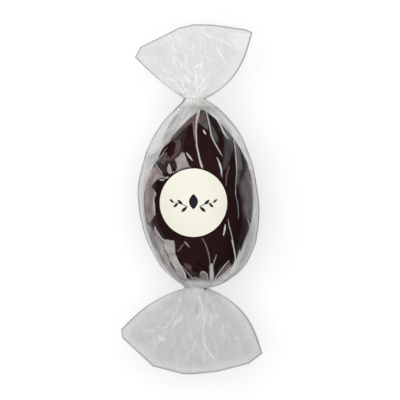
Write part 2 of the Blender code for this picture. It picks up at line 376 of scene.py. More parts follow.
# %% Folds beside the label
LABEL_FOLDS = (
    (0.75, (-13.5, 13.6, 0.1), (-12.7, 12.1, 0.15), (-10.9, 9.8, 0.1)),
    (0.8, (-8.4, 13.3, 0.08), (-7.9, 11.7, 0.15), (-7.4, 9.9, 0.12)),
    (0.75, (-8.4, 13.3, 0.08), (-8.8, 11.7, 0.15), (-8.8, 10.3, 0.12)),
    (0.75, (-8.8, 10.4, 0.1), (-8.1, 9.9, 0.2), (-7.4, 10.0, 0.1)),
    (0.6, (-7.0, 10.2, 0.1), (-6.3, 10.0, 0.2), (-5.6, 9.6, 0.1)),
    (0.75, (-11.7, 7.4, 0.1), (-10.8, 7.2, 0.2), (-10.1, 7.3, 0.08)),
    (0.85, (-9.9, 7.9, 0.1), (-8.9, 8.2, 0.2), (-8.0, 8.1, 0.1)),
    (0.45, (-10.0, 8.4, 0.15), (-13.1, 9.0, 0.2), (-16.7, 9.0, 0.15)),
    (0.4, (-11.0, 8.2, 0.1), (-13.6, 7.9, 0.15), (-17.0, 7.2, 0.1)),
    (0.3, (-10.3, 8.4, 0.1), (-11.9, 10.1, 0.18), (-13.1, 11.7, 0.15)),
    (0.35, (-14.1, 6.7, 0.15), (-15.9, 5.3, 0.25), (-17.4, 4.0, 0.2)),
    (0.8, (-13.8, 0.9, 0.15), (-13.9, -1.0, 0.25), (-13.6, -3.8, 0.3), (-13.6, -5.7, 0.2)),
    (0.7, (-13.4, 2.6, 0.15), (-13.3, 2.0, 0.3), (-13.6, 1.3, 0.15)),
    (0.9, (12.4, -9.2, 0.12), (12.2, -10.7, 0.28), (11.7, -13.1, 0.12)),
)
print("folds beside the label:", len(LABEL_FOLDS))

# %% [markdown]
# ## Folds from the lower neck
# The lower neck gathers more film than the upper one, so its folds are closer together. The
# left ones cross and break up into a crumpled patch, and the right ones run along the edges
# of loose flaps.

# %% Folds from the lower neck
LOWER_FOLDS = (
    # From the lower neck to the left
    (0.55, (-16.1, -9.3, 0.15), (-14.9, -11.6, 0.2), (-13.8, -13.8, 0.2), (-11.9, -16.8, 0.2)),
    (0.8, (-13.6, -9.7, 0.08), (-13.2, -10.8, 0.18), (-12.1, -12.7, 0.18), (-10.9, -14.7, 0.22),
     (-9.4, -15.2, 0.15)),
    (0.6, (-10.5, -15.7, 0.15), (-9.7, -15.2, 0.2), (-8.8, -14.8, 0.15), (-8.1, -15.3, 0.15),
     (-6.6, -15.3, 0.15), (-6.4, -16.9, 0.15)),
    (0.55, (-6.4, -16.9, 0.15), (-6.2, -20.0, 0.15), (-5.4, -21.7, 0.15)),
    (0.85, (-5.9, -21.0, 0.12), (-4.4, -24.1, 0.16), (-2.8, -27.3, 0.22), (-2.3, -29.5, 0.18)),
    (0.5, (-3.9, -24.3, 0.08), (-2.0, -26.8, 0.12), (-0.1, -28.9, 0.14), (1.6, -30.9, 0.12)),
    (0.55, (-8.6, -15.2, 0.15), (-9.6, -17.3, 0.25), (-9.2, -19.3, 0.2)),
    (0.5, (-7.5, -16.1, 0.12), (-8.6, -17.3, 0.15), (-8.3, -19.0, 0.12)),
    (0.5, (-9.5, -18.3, 0.15), (-7.8, -22.4, 0.25), (-5.4, -26.5, 0.25), (-3.7, -29.2, 0.2)),
    (0.45, (-8.3, -20.0, 0.12), (-6.7, -23.4, 0.2), (-4.4, -27.5, 0.2)),
    (0.4, (-10.2, -21.0, 0.15), (-7.8, -25.1, 0.2), (-4.4, -29.2, 0.2)),
    (0.4, (-2.7, -15.4, 0.1), (-1.8, -16.3, 0.3), (-0.8, -17.5, 0.1)),
    (0.25, (-3.0, -16.4, 0.08), (-3.9, -17.3, 0.15), (-4.4, -18.3, 0.12), (-5.3, -18.9, 0.08)),
    (0.6, (-9.4, -15.6, 0.1), (-9.9, -16.6, 0.2), (-9.0, -17.6, 0.15), (-8.4, -16.6, 0.1)),
    (0.5, (-8.0, -17.0, 0.1), (-7.3, -18.4, 0.2), (-7.8, -20.2, 0.12)),
    (0.55, (-9.8, -19.4, 0.15), (-8.9, -21.6, 0.3), (-7.9, -23.2, 0.15)),
    (0.5, (-6.9, -20.8, 0.1), (-6.0, -22.6, 0.25), (-4.9, -24.9, 0.15)),
    (0.5, (-17.1, -9.6, 0.12), (-15.9, -13.3, 0.25), (-13.7, -17.4, 0.25), (-11.2, -21.1, 0.2)),
    (0.4, (-15.4, -17.4, 0.1), (-12.0, -22.2, 0.2), (-8.2, -26.8, 0.2)),
    # From the lower neck to the right
    (0.3, (3.9, -14.2, 0.05), (5.2, -16.4, 0.1), (5.9, -18.6, 0.14), (6.5, -21.0, 0.14),
     (6.9, -24.1, 0.1)),
    (0.45, (9.2, -20.2, 0.05), (8.4, -22.7, 0.14), (7.7, -24.4, 0.16)),
    (0.7, (7.3, -23.9, 0.3), (7.5, -26.8, 0.4), (7.5, -30.1, 0.45)),
    (0.6, (14.0, -22.6, 0.08), (12.3, -24.3, 0.25), (10.4, -26.8, 0.22), (8.6, -29.5, 0.25)),
    (0.5, (14.4, -24.9, 0.08), (12.3, -27.2, 0.18), (9.2, -29.8, 0.22)),
    (0.5, (5.7, -27.3, 0.1), (5.9, -29.2, 0.25), (5.6, -31.6, 0.3)),
    (0.55, (3.2, -27.2, 0.1), (3.8, -26.7, 0.25), (4.8, -26.8, 0.25), (5.7, -27.7, 0.12)),
    (0.35, (3.2, -27.2, 0.1), (3.1, -29.2, 0.2), (4.5, -30.9, 0.2)),
    (0.5, (-0.3, -29.1, 0.1), (1.4, -28.9, 0.2), (2.8, -29.5, 0.22), (3.2, -30.7, 0.15)),
    (0.5, (13.4, -7.1, 0.06), (13.8, -9.7, 0.18), (14.7, -12.9, 0.18), (15.6, -16.9, 0.16)),
    (0.75, (14.8, -14.9, 0.18), (15.7, -18.0, 0.25), (16.3, -21.7, 0.3), (15.6, -24.6, 0.22),
     (14.0, -27.2, 0.18)),
    (0.8, (20.7, -7.2, 0.1), (21.7, -10.1, 0.2), (22.4, -12.4, 0.2), (22.9, -14.7, 0.14)),
    (0.6, (21.6, -11.0, 0.12), (20.3, -13.8, 0.2), (19.1, -16.9, 0.22)),
    (0.6, (17.9, -19.3, 0.2), (16.7, -23.4, 0.3), (14.4, -27.5, 0.3), (10.3, -30.9, 0.3)),
    (0.5, (18.1, -23.1, 0.2), (15.0, -27.8, 0.25), (11.0, -31.2, 0.25)),
)
FOLDS = UPPER_FOLDS + LABEL_FOLDS + LOWER_FOLDS
print("folds in all:", len(FOLDS))

# %% [markdown]
# ## Pockets under the film
# Between some folds the film stands off the egg in a pocket. Its paleness is painted sheen:
# the lifted film reflects light, so a pocket looks paler than the film that lies flat on the
# chocolate, and a shallow one lets the brown through and looks warm. A painted picture of them
# would blur close up, so each pocket is an outline on the film itself. This table holds the
# upper ones.

# %% Pockets beside the upper neck
# Each pocket: how pale its painted sheen is and how warm it is, how soft its edge is in mm,
# then its corners in mm
UPPER_POCKETS = (
    # Beside the upper neck, left: the margin, then the warm film along the egg
    (0.42, 0.15, 0.5, (3.4, 35.9), (1.7, 32.6), (-2.5, 28.4), (-6.9, 23.7), (-9.1, 19.9),
     (-11.9, 17.4), (-13.6, 14.8), (-16.6, 9.6), (-18.0, 10.3), (-15.3, 16.2), (-12.5, 20.9),
     (-8.8, 26.8), (-5.6, 31.3), (-1.3, 35.3)),
    (0.17, 1.0, 0.35, (2.0, 32.9), (0.3, 28.8), (-1.1, 27.7), (-2.8, 26.4), (-5.0, 24.3),
     (-6.6, 22.6), (-7.2, 23.5), (-2.5, 28.3)),
    (0.15, 1.0, 0.25, (1.7, 32.1), (2.1, 29.0), (1.5, 24.6), (1.9, 20.6), (1.3, 20.9),
     (0.6, 25.9), (0.4, 29.0)),
    (0.12, 1.0, 0.3, (-6.7, 21.7), (-4.4, 22.4), (-4.0, 20.6), (-4.4, 18.1), (-5.6, 16.2),
     (-7.2, 14.6), (-7.8, 14.9), (-6.6, 17.4), (-6.2, 19.3)),
    (0.10, 1.0, 0.3, (-9.1, 20.4), (-7.5, 21.8), (-7.8, 19.3), (-8.7, 16.8), (-10.0, 15.6),
     (-10.9, 16.1), (-10.3, 17.8)),
    (0.14, 1.0, 0.25, (-11.3, 15.1), (-10.0, 15.9), (-7.8, 15.9), (-8.1, 14.3), (-9.6, 14.6),
     (-10.3, 13.0), (-11.3, 13.4)),
    (0.45, 0.5, 0.2, (-8.4, 13.2), (-7.9, 11.7), (-7.5, 10.1), (-8.7, 10.3), (-8.8, 11.7)),
    (0.44, 0.35, 0.2, (-6.3, 14.9), (-4.7, 16.1), (-3.8, 17.5), (-2.8, 17.4), (-1.9, 14.9),
     (-0.9, 12.4), (0.8, 11.3), (-1.9, 11.0), (-4.9, 9.9), (-5.9, 10.4), (-5.3, 11.8),
     (-5.7, 13.7)),
    # Beside the upper neck, right
    (0.12, 0.3, 0.3, (3.4, 33.7), (5.1, 33.7), (5.5, 30.9), (6.3, 27.4), (5.9, 25.6),
     (4.9, 26.5), (3.2, 28.1), (2.3, 28.7)),
    (0.09, 0.0, 0.5, (5.9, 31.8), (7.2, 28.7), (8.7, 25.6), (9.8, 23.1), (9.7, 21.2),
     (8.0, 22.8), (7.1, 26.2), (6.4, 28.7)),
    (0.17, 0.1, 0.5, (10.6, 28.7), (12.2, 27.8), (13.7, 24.9), (15.0, 24.9), (15.0, 22.4),
     (13.7, 21.8), (12.2, 23.7)),
    (0.08, 0.1, 0.8, (12.0, 23.7), (15.0, 24.6), (15.4, 19.3), (14.4, 16.2), (13.1, 11.8),
     (11.6, 11.2), (12.0, 16.2), (12.2, 20.9)),
    (0.14, 0.0, 0.5, (15.8, 23.7), (16.9, 21.2), (18.3, 17.4), (18.8, 11.2), (16.6, 11.2),
     (16.2, 17.4)),
    (0.08, 0.0, 0.5, (16.6, 13.1), (18.7, 13.1), (18.1, 9.3), (17.3, 5.7), (16.2, 5.1),
     (16.5, 9.3)),
    (0.7, 0.0, 0.5, (5.3, 36.5), (8.6, 33.9), (10.6, 30.7), (14.4, 26.7), (15.4, 23.7),
     (18.7, 18.1), (20.6, 14.3), (21.4, 11.2), (23.1, 11.2), (20.0, 19.9), (17.5, 25.3),
     (13.7, 29.6), (8.7, 34.8), (5.9, 37.8)),
    (0.13, 0.1, 1.8, (20.6, 13.1), (20.0, 10.3), (18.7, 7.1), (17.8, 5.7), (18.3, 2.8),
     (19.1, -0.4), (19.2, -3.8), (20.1, -6.5), (21.0, -7.4), (24.4, -6.9), (24.2, 3.7),
     (22.8, 11.2)),
)
print("pockets beside the upper neck:", len(UPPER_POCKETS))

# %% [markdown]
# ## Pockets beside the label and the lower neck
# The lower end is wrapped more loosely, so its pockets are larger, with a stronger painted
# sheen, and they overlap where flaps of film lie on each other. The palest one shows
# wherever two of them overlap.

# %% Pockets beside the label and the lower neck
LOWER_POCKETS = (
    # Left of the label
    (0.36, 0.55, 0.3, (-13.6, 12.4), (-11.9, 10.3), (-9.9, 8.2), (-11.9, 7.7), (-12.9, 7.4),
     (-14.7, 5.3), (-14.9, 4.6), (-16.3, 3.7), (-18.1, 3.7), (-18.0, 6.8), (-16.9, 9.6),
     (-15.3, 11.2)),
    (0.30, 0.55, 0.25, (-14.9, 4.7), (-13.9, 3.7), (-13.1, 2.4), (-13.8, 0.6), (-13.4, -1.9),
     (-13.6, -5.4), (-14.7, -7.6), (-16.0, -9.2), (-17.8, -6.9), (-18.3, -1.0), (-18.2, 4.0)),
    # Beside the lower neck
    (0.42, 0.35, 0.3, (-16.0, -9.2), (-15.5, -9.9), (-14.1, -12.3), (-13.1, -14.7),
     (-10.6, -16.9), (-15.0, -16.9), (-17.2, -11.9), (-18.1, -7.6)),
    (0.35, 0.5, 0.2, (-13.6, -9.9), (-13.2, -10.8), (-12.1, -12.7), (-10.9, -14.7),
     (-9.4, -15.2), (-10.3, -16.8), (-11.9, -16.8), (-13.1, -14.7), (-14.1, -11.9)),
    (0.42, 0.35, 0.3, (-13.6, -13.2), (-12.1, -13.9), (-10.5, -15.9), (-10.0, -19.3),
     (-7.8, -24.4), (-4.4, -30.2), (-2.5, -32.6), (-4.4, -31.6), (-8.8, -27.3), (-12.2, -22.9),
     (-15.6, -17.3)),
    (0.58, 0.25, 0.3, (-10.5, -15.9), (-8.8, -14.9), (-6.6, -15.2), (-6.3, -17.3), (-6.1, -20.3),
     (-7.5, -19.7), (-9.0, -20.3), (-10.0, -18.6)),
    (0.52, 0.3, 0.3, (-9.0, -20.2), (-7.5, -19.7), (-6.1, -20.3), (-4.4, -23.9), (-2.7, -27.2),
     (-2.0, -29.5), (-3.4, -30.2), (-5.8, -27.5)),
    (0.55, 0.1, 0.6, (-15.6, -19.0), (-12.2, -23.4), (-8.8, -27.5), (-4.4, -31.8), (-2.0, -32.8),
     (-2.0, -30.2), (-4.4, -29.9), (-7.5, -26.8), (-10.9, -22.4), (-13.6, -17.6)),
    (0.18, 1.0, 0.5, (-3.0, -23.4), (-1.3, -23.7), (0.0, -24.8), (-0.6, -26.3), (-2.1, -25.4)),
    (0.3, 0.4, 0.3, (3.2, -27.2), (4.5, -26.7), (5.8, -27.7), (5.8, -29.5), (5.2, -30.7),
     (3.8, -29.5)),
    (0.3, 0.8, 0.3, (-0.1, -29.2), (2.1, -28.9), (3.1, -30.6), (2.1, -30.9), (0.7, -30.2)),
    (0.25, 0.9, 0.4, (14.0, -23.4), (11.6, -26.1), (9.8, -28.5), (9.4, -29.7), (11.6, -28.5),
     (14.0, -26.5), (15.0, -24.8)),
    (0.6, 0.1, 0.4, (6.7, -24.1), (7.9, -24.1), (8.3, -29.9), (6.6, -29.9)),
    (0.55, 0.15, 0.5, (17.9, -18.3), (16.4, -23.1), (14.4, -27.2), (9.2, -30.1), (6.2, -32.3),
     (5.5, -33.1), (11.6, -31.6), (15.0, -29.2), (18.1, -24.4)),
    (0.4, 0.1, 0.4, (21.7, -11.3), (22.0, -14.3), (21.6, -17.5), (20.9, -20.2), (19.5, -23.3),
     (16.0, -27.0), (12.0, -30.5), (14.0, -27.3), (16.3, -23.2), (17.9, -19.3), (19.1, -16.9),
     (20.3, -13.8)),
    (0.6, 0.1, 0.6, (-2.2, -29.2), (1.6, -31.0), (2.9, -31.6), (6.5, -30.2), (8.7, -30.0),
     (9.2, -30.2), (5.5, -33.1), (-2.5, -32.8)),
)
POCKETS = UPPER_POCKETS + LOWER_POCKETS
print("pockets in all:", len(POCKETS))

# %% [markdown]
# ## Distances on the film
# The tables hold places seen from above, but the film curves down at its sides, where a fold
# of even width would look squeezed. So a place is first turned into a distance round the
# film, from its top line, and a fold's width is measured there.

# %% Distances on the film
def arc_from_crown(x, y):
    """Return how far round the film a point seen from above lies from the film's top line."""
    centre_x, half_width, _ = body_section(np.asarray(y, dtype=float))
    across = (x - centre_x) / half_width
    inner = np.clip(across, -1.0, 1.0)
    return half_width * (np.arcsin(inner) + across - inner)


def on_film(corners):
    """Turn corners in mm seen from above into distances on the film."""
    x, y = (np.array(corners) * MM).T[:2]
    return np.stack([arc_from_crown(x, y), y], axis=1)


def distance_to_route(x, y, route):
    """Return each point's distance to a route of straight stretches, and its place along it."""
    best = np.full(x.shape, 1.0)
    along = np.zeros(x.shape)
    for index, (start, end) in enumerate(zip(route, route[1:])):
        run = end - start
        share = np.clip(((x - start[0]) * run[0] + (y - start[1]) * run[1]) / (run @ run), 0.0, 1.0)
        gap = np.hypot(x - start[0] - share * run[0], y - start[1] - share * run[1])
        along = np.where(gap < best, index + share, along)
        best = np.minimum(best, gap)
    return best, along


print("label's right side, mm round the film:", np.round(on_film([(13.0, -1.1)]) / MM, 1)[0, 0])

# %% [markdown]
# ## Drawing folds and pockets
# A fold is a ridge in the mesh and, for the material, a bright line that is a painted
# highlight. Its ridge is sharp at the crest and runs out at its foot. A pocket is found by
# counting how often its outline is crossed on the way out: an odd number means that the point
# is inside.

# %% Drawing the folds
RIDGE_SHARPNESS = 1.5
FOLD_HEIGHT_TO_WIDTH = 0.9
FOLD_FOOT_TO_WIDTH = 1.8
FOLD_LINE_TO_WIDTH = 1.2
THINNEST_LINE = 0.00010


def ridge(gap, half_width):
    """Return the height of a sharp-crested ridge, 1 on its crest."""
    return np.clip(1.0 - gap / half_width, 0.0, 1.0) ** RIDGE_SHARPNESS


def line(gap, half_width):
    """Return the strength of a fine line, full along its middle."""
    return smooth_step(1.0 - gap / half_width, 0.0, 0.6)


def hand_folds(x, y):
    """Return the height and painted highlight of the listed folds at each point."""
    height = np.zeros(x.shape)
    painted_highlight = np.zeros(x.shape)
    for light, *route in FOLDS:
        gap, along = distance_to_route(x, y, on_film(route))
        half_width = MM * np.interp(along, range(len(route)), [stop[2] for stop in route])
        tall = FOLD_HEIGHT_TO_WIDTH * half_width
        height = np.maximum(height, tall * ridge(gap, FOLD_FOOT_TO_WIDTH * half_width))
        line_width = FOLD_LINE_TO_WIDTH * half_width + THINNEST_LINE
        painted_highlight = np.maximum(painted_highlight, light * line(gap, line_width))
    return height, painted_highlight


print("ridge halfway down its side:", round(float(ridge(0.5, 1.0)), 2))

# %% [markdown]
# ## Filling in the pockets
# The edge of a pocket is soft, because film lifts off a round egg little by little. So its
# cover rises smoothly over the distance to its outline, and isn't cut off there.

# %% Filling in the pockets
def inside_outline(x, y, corners, softness):
    """Return 1 inside an outline, falling to 0 over the soft edge around it."""
    ring = np.vstack([corners, corners[:1]])
    gap, _ = distance_to_route(x, y, ring)
    inside = np.zeros(x.shape, dtype=bool)
    for start, end in zip(ring, ring[1:]):
        crosses = (start[1] > y) != (end[1] > y)
        rise = end[1] - start[1]
        at = start[0] + (y - start[1]) * (end[0] - start[0]) / (rise if rise else 1.0)
        inside ^= crosses & (x < at)
    signed = np.where(inside, gap, -gap)
    return smooth_step(signed, -softness, softness)


def hand_pockets(x, y):
    """Return the painted sheen and the warmth that the listed pockets give each point."""
    painted_sheen = np.zeros(x.shape)
    warm = np.zeros(x.shape)
    for light, warmth, softness, *corners in POCKETS:
        cover = inside_outline(x, y, on_film(corners), softness * MM)
        warm = np.where(light * cover > painted_sheen, warmth, warm)
        painted_sheen = np.maximum(painted_sheen, light * cover)
    return painted_sheen, warm


print("palest pocket:", max(pocket[0] for pocket in POCKETS))

# %% [markdown]
# ## Folds by chance
# The folds underneath differ from one wrapped sweet to the next, so a seeded generator places
# them. Each starts in one of the necks and runs out with a slight bend. The same seed gives
# the same folds each time, so the sweet never changes between two runs.

# %% Folds by chance
CHANCE_FOLDS = 90
rng = np.random.default_rng(71)


def chance_folds(angle, y):
    """Return the height and painted highlight of folds that radiate from both necks at random."""
    height = np.zeros(y.shape)
    painted_highlight = np.zeros(y.shape)
    radius = body_section(y)[1]
    for _ in range(CHANCE_FOLDS):
        at_top = rng.random() < 0.5
        to_neck = TOP_NECK[1] - y if at_top else y - BOTTOM_NECK[1]
        reach = rng.uniform(0.006, 0.030)
        heading = rng.uniform(0.0, 2.0 * math.pi)
        bend = rng.uniform(-14.0, 14.0)
        half_width = rng.uniform(0.0005, 0.0010)
        tall = rng.uniform(0.00015, 0.00045)
        light = rng.uniform(0.2, 0.6)
        turn = angle - heading - bend * to_neck
        turn = np.abs((turn + math.pi) % (2.0 * math.pi) - math.pi)
        ends = 1.0 - smooth_step(to_neck, 0.4 * reach, reach)
        height = np.maximum(height, tall * ends * ridge(turn * radius, half_width))
        painted_highlight = np.maximum(painted_highlight, light * ends * line(turn * radius, 0.4 * half_width))
    return height, painted_highlight


print("folds by chance:", CHANCE_FOLDS)

# %% [markdown]
# ## Crumpling
# Crumpled film is made of small flat facets that meet in creases. Noise would give soft
# dents. Adding a few triangle waves that run in unlike directions gives what film shows: flat
# patches of many shapes with sharp edges. A smooth chance field bends the waves and breaks
# their creases up, so that none runs on for long.

# %% Crumpling
TABLE_SIZE = 16


def chance_field(points, size, seed):
    """Return smooth chance values between -1 and 1 that change over about the given size."""
    table = np.random.default_rng(seed).uniform(-1.0, 1.0, (TABLE_SIZE,) * 3)
    place = points / size
    corner = np.floor(place).astype(int)
    share = smooth_step(place - corner, 0.0, 1.0)
    total = np.zeros(len(points))
    for step in np.ndindex(2, 2, 2):
        weight = np.prod(np.where(step, share, 1.0 - share), axis=1)
        total += weight * table[tuple(((corner + step) % TABLE_SIZE).T)]
    return total


def crumple(points, size, seed, waves=6, crease=0.00020):
    """Return a faceted relief between about -1 and 1, and how near its sharp creases are."""
    chance = np.random.default_rng(seed)
    relief = np.zeros(len(points))
    creases = np.zeros(len(points))
    for _ in range(waves):
        direction = chance.normal(size=3)
        direction /= np.linalg.norm(direction)
        pitch = size * chance.uniform(0.7, 1.8)
        sway = 0.35 * size * chance_field(points, 2.4 * size, chance.integers(9999))
        phase = (points @ direction + sway) / pitch + chance.random()
        from_crest = np.abs(phase - np.floor(phase) - 0.5)
        relief += 1.0 - 4.0 * from_crest
        broken = smooth_step(chance_field(points, 0.9 * size, chance.integers(9999)), 0.15, 0.50)
        creases = np.maximum(creases, broken * line(from_crest * pitch, crease))
    return relief / math.sqrt(waves), creases


print("chance values in a field:", TABLE_SIZE ** 3)

# %% [markdown]
# ## Points of the film round the egg
# The film is one thin skin, so it is a tube without thickness, open at both necks. A cylinder
# has its columns evenly spread, so a grid is rolled up instead: one side of it runs round the
# egg, the other runs from neck to neck, and most of its columns go to the upper half, where
# the folds show. Over the flat margin the skin is kept off the egg, because film can't pass
# through chocolate.

# %% Roll up the film
AROUND = 400
ALONG = 248
UPPER_SHARE = 0.80
EVENLY_SPREAD = 0.6
FILM_STANDS_OFF = 0.0005


def keep_over_egg(x, y, rise):
    """Return how far the film stands from the axis plane, at least as far as the egg needs."""
    centre_x, half_width, half_height = egg_section(y)
    across = (x - centre_x) / np.maximum(half_width, TINY)
    egg_rise = half_height * np.sqrt(np.clip(1.0 - across * across, 0.0, 1.0)) + FILM_STANDS_OFF
    beside = np.abs(across) < 1.0
    return np.where(beside, np.maximum(rise, egg_rise), rise)


def roll_up(grid):
    """Return each point's angle round the film, how flat it lies there, and its place."""
    angle = np.interp(grid[:, 0], (0.0, UPPER_SHARE, 1.0), (0.0, math.pi, 2.0 * math.pi))
    even = grid[:, 1]
    share = mix(0.5 - 0.5 * np.cos(math.pi * even), even, EVENLY_SPREAD)
    y = mix(BOTTOM_NECK[1], TOP_NECK[1], share)
    centre_x, half_width, half_height = body_section(y)
    flat = height_left(np.cos(angle), y)
    x = centre_x + half_width * np.cos(angle)
    rise = half_height * flat * np.abs(np.sin(angle))
    rise = mix(rise, keep_over_egg(x, y, rise), smooth_step(1.0 - flat, 0.0, 0.1))
    z = AXIS_HEIGHT + np.where(angle <= math.pi, rise, -rise)
    return angle, 1.0 - flat, np.stack([x, y, z], axis=1)


film_body = unit_grid("film_body", AROUND, ALONG)
angle, flatness, skin = roll_up(positions(film_body))
print("points in the film's body:", len(skin))

# %% [markdown]
# ## Measures on the rolled film
# Several effects depend on the same few measures, so they are worked out once: how near a
# neck a point is, how far round the film it lies, and whether the label covers it. Under the
# label the film is pressed smooth, so folds and milky marks leave it bare.

# %% Measures on the rolled film
GATHER_REACH = 0.0085
LABEL_RIM = (1.0, 1.12)


def label_cover(x, y):
    """Return 1 under the label, falling to 0 a little way outside it."""
    across = (x - LABEL_CENTRE[0]) / LABEL_HALF_WIDTH
    along = (y - LABEL_CENTRE[1]) / LABEL_HALF_LENGTH
    return 1.0 - smooth_step(np.hypot(across, along), *LABEL_RIM)


skin_x, skin_y, skin_z = skin.T
across, height = np.cos(angle), np.sin(angle)
upper = angle <= math.pi
bare = 1.0 - label_cover(skin_x, skin_y) * upper
to_neck = np.minimum(TOP_NECK[1] - skin_y, skin_y - BOTTOM_NECK[1])
near_neck = np.exp(-to_neck / GATHER_REACH)
radius = body_section(skin_y)[1]
past_side = np.where(angle > 1.5 * math.pi, angle - 2.0 * math.pi, angle)
arc = radius * (0.5 * math.pi - past_side)
print("share of the film left bare by the label:", round(float(bare.mean()), 2))

# %% [markdown]
# ## Relief of the film's body
# Four kinds of relief are added up, from large to small: the gathers round each neck, the
# crease along each side, the folds, and the facets of crumpled film. Listed folds lie
# above and chance folds underneath, and each kind fades out where the other takes over.

# %% Relief of the film's body
GATHERS = ((7, 0.42, 0.4), (12, 0.38, 2.1), (17, 0.20, 4.4), (29, 0.16, 1.3), (47, 0.10, 0.2))
GATHER_DEPTH_AT_NECK = 0.6 * 0.0009
GATHER_TWIST = 9.0
SIDE_CREASE_HEIGHT = 0.0005
SIDE_CREASE_HALF_WIDTH = 0.0011
FACET_SIZE = 0.0080
FACET_HEIGHT = 0.00020
CRINKLE_SIZE = 0.0030
CRINKLE_HEIGHT = 0.00006

above = smooth_step(height, 0.0, 0.12)
below = 1.0 - smooth_step(height, -0.1, 0.1)
hand_height, hand_highlight = hand_folds(arc, skin_y)
chance_height, chance_highlight = chance_folds(angle, skin_y)
side_crease = SIDE_CREASE_HEIGHT * ridge(np.abs(height) * radius, SIDE_CREASE_HALF_WIDTH)
gathers = sum_of_waves(GATHERS, angle + GATHER_TWIST * skin_y) - 1.0
gathers *= GATHER_DEPTH_AT_NECK * near_neck
facets, facet_creases = crumple(skin, FACET_SIZE, 5)
crinkles, crinkle_creases = crumple(skin, CRINKLE_SIZE, 9)
relief = gathers + side_crease + (hand_height * above + chance_height * below) * bare
relief += (FACET_HEIGHT * facets * (0.5 + 0.7 * near_neck)
           + CRINKLE_HEIGHT * crinkles * near_neck) * bare
film_x = skin_x + relief * across
film_z = np.maximum(skin_z + relief * height, 0.0)
move_points(film_body, np.stack([film_x, skin_y, film_z], axis=1))
print("relief, mm:", round(relief.min() / MM, 2), "to", round(relief.max() / MM, 2))

# %% [markdown]
# ## White creases and painted highlights
# A crease in clear film shows as a fine white line, partly because the bent film scatters
# light and partly as a painted highlight of the light that it catches. So the folds that were
# raised are also kept as a mark. Facets show their edges near the necks, and crinkles also
# wherever a pocket's painted sheen is strong, for there the film is loose.

# %% Mark the creases and their painted highlights
# The pockets' painted sheen and their warm tint
painted_sheen, warm = hand_pockets(arc, skin_y)
crease = np.maximum(hand_highlight * above, chance_highlight * below)
neck_creases = 0.25 * facet_creases + 0.5 * crinkle_creases
crease = np.maximum(crease, neck_creases * near_neck ** 3)
crease = np.maximum(crease, 0.5 * crinkle_creases * smooth_step(painted_sheen, 0.25, 0.45))
store(film_body, "crease", crease * bare)
print("share of the film that is creased:", round(float((crease > 0.1).mean()), 2))

# %% [markdown]
# ## Milky sides and painted rim light
# Seen from above, the film turns away at the egg's sides and is looked through at a slant,
# where it looks milky and would reflect the light floor; that light is painted into it as a
# band along each side. At the left it stands off the egg and is palest. At the right the pale
# band is narrow at first and widens downwards. Fine ribs run along both, from neck to neck.

# %% Milky sides of the film, with painted rim light
RIBS = ((37, 0.12, 0.3), (61, 0.12, 1.1), (113, 0.12, 2.0))
LEFT_HALO = 0.86
LEFT_HALO_ACROSS = (0.885, 0.96)
LEFT_HALO_DIMS_TO = 0.85
LEFT_HALO_DIMS_Y = (0.012, 0.018)
RIGHT_HALO = (0.38, 0.50)
RIGHT_HALO_BRIGHTENS_DOWN = (0.008, 0.014)
RIGHT_HALO_STARTS = (0.95, 0.81)
RIGHT_HALO_WIDENS_DOWN = (-0.012, -0.006)


def left_halo(across, y):
    """Return the milkiness and painted rim light of the film along its left side."""
    halo = LEFT_HALO * smooth_step(-across, *LEFT_HALO_ACROSS)
    return halo * mix(1.0, LEFT_HALO_DIMS_TO, smooth_step(y, *LEFT_HALO_DIMS_Y))


def right_halo(across, y):
    """Return the milkiness and painted rim light of the film along its right side."""
    starts = mix(*RIGHT_HALO_STARTS, smooth_step(-y, *RIGHT_HALO_WIDENS_DOWN))
    halo = smooth_step((across - starts) / (1.0 - starts), 0.0, 1.0)
    return halo * mix(*RIGHT_HALO, smooth_step(-y, *RIGHT_HALO_BRIGHTENS_DOWN))


ribs = sum_of_waves(RIBS, angle)
# Painted rim light along both sides
halo = np.maximum(left_halo(across, skin_y), right_halo(across, skin_y)) * (1.0 + ribs)
print("milkiest side:", round(float(halo.max()), 2))

# %% [markdown]
# ## Painted sheen of the pockets, and milky necks
# The pockets' painted sheen is made crinkled and uneven and grows towards the sides, and the
# flat margin gets ribs. Where a side's painted rim light is the stronger, it hides the
# pocket's warm tint. At each neck the film is packed tight in many layers and is all but white.

# %% Mark the painted sheen and the milky necks
NECK_PALENESS = 0.85
PALE_STARTS = 0.0018
PALE_ENDS = 0.0045
MARGIN_FLATNESS = (0.3, 0.8)
POCKET_UNEVENNESS = 0.22
MARGIN_RIBS = 1.6
SIDE_POCKET_GAIN = 1.2
PALE_BELOW_SIDES = (-0.5, -0.1)

margin = smooth_step(flatness, *MARGIN_FLATNESS)
# The painted sheen grows towards the film's sides
side_gain = mix(1.0, SIDE_POCKET_GAIN, smooth_step(np.abs(across), 0.6, 0.9))
painted_sheen *= side_gain * (1.0 + POCKET_UNEVENNESS * crinkles)
warm = np.where(halo > painted_sheen, 0.0, warm)
painted_sheen = np.maximum(painted_sheen * (1.0 + MARGIN_RIBS * ribs * margin), halo)
painted_sheen *= bare * smooth_step(height, *PALE_BELOW_SIDES)
drawn_in = NECK_PALENESS * (1.0 - smooth_step(to_neck, PALE_STARTS, PALE_ENDS))
# The pocket mark holds the painted sheen and the real whiteness of the necks
store(film_body, "pocket", np.maximum(painted_sheen, drawn_in))
store(film_body, "warmth", np.where(painted_sheen > drawn_in, warm, 0.0))
print("share of the film that is milky:", round(float((painted_sheen > 0.1).mean()), 2))

# %% [markdown]
# ## Painted shade and cream spots
# The crease along each side gets a grey outline, which is painted shade. Painted shade also
# greys the flat margin and the lower sides. Where a neck is drawn tightest the film turns
# cream. With these marks the body is complete, and its long seam is closed.

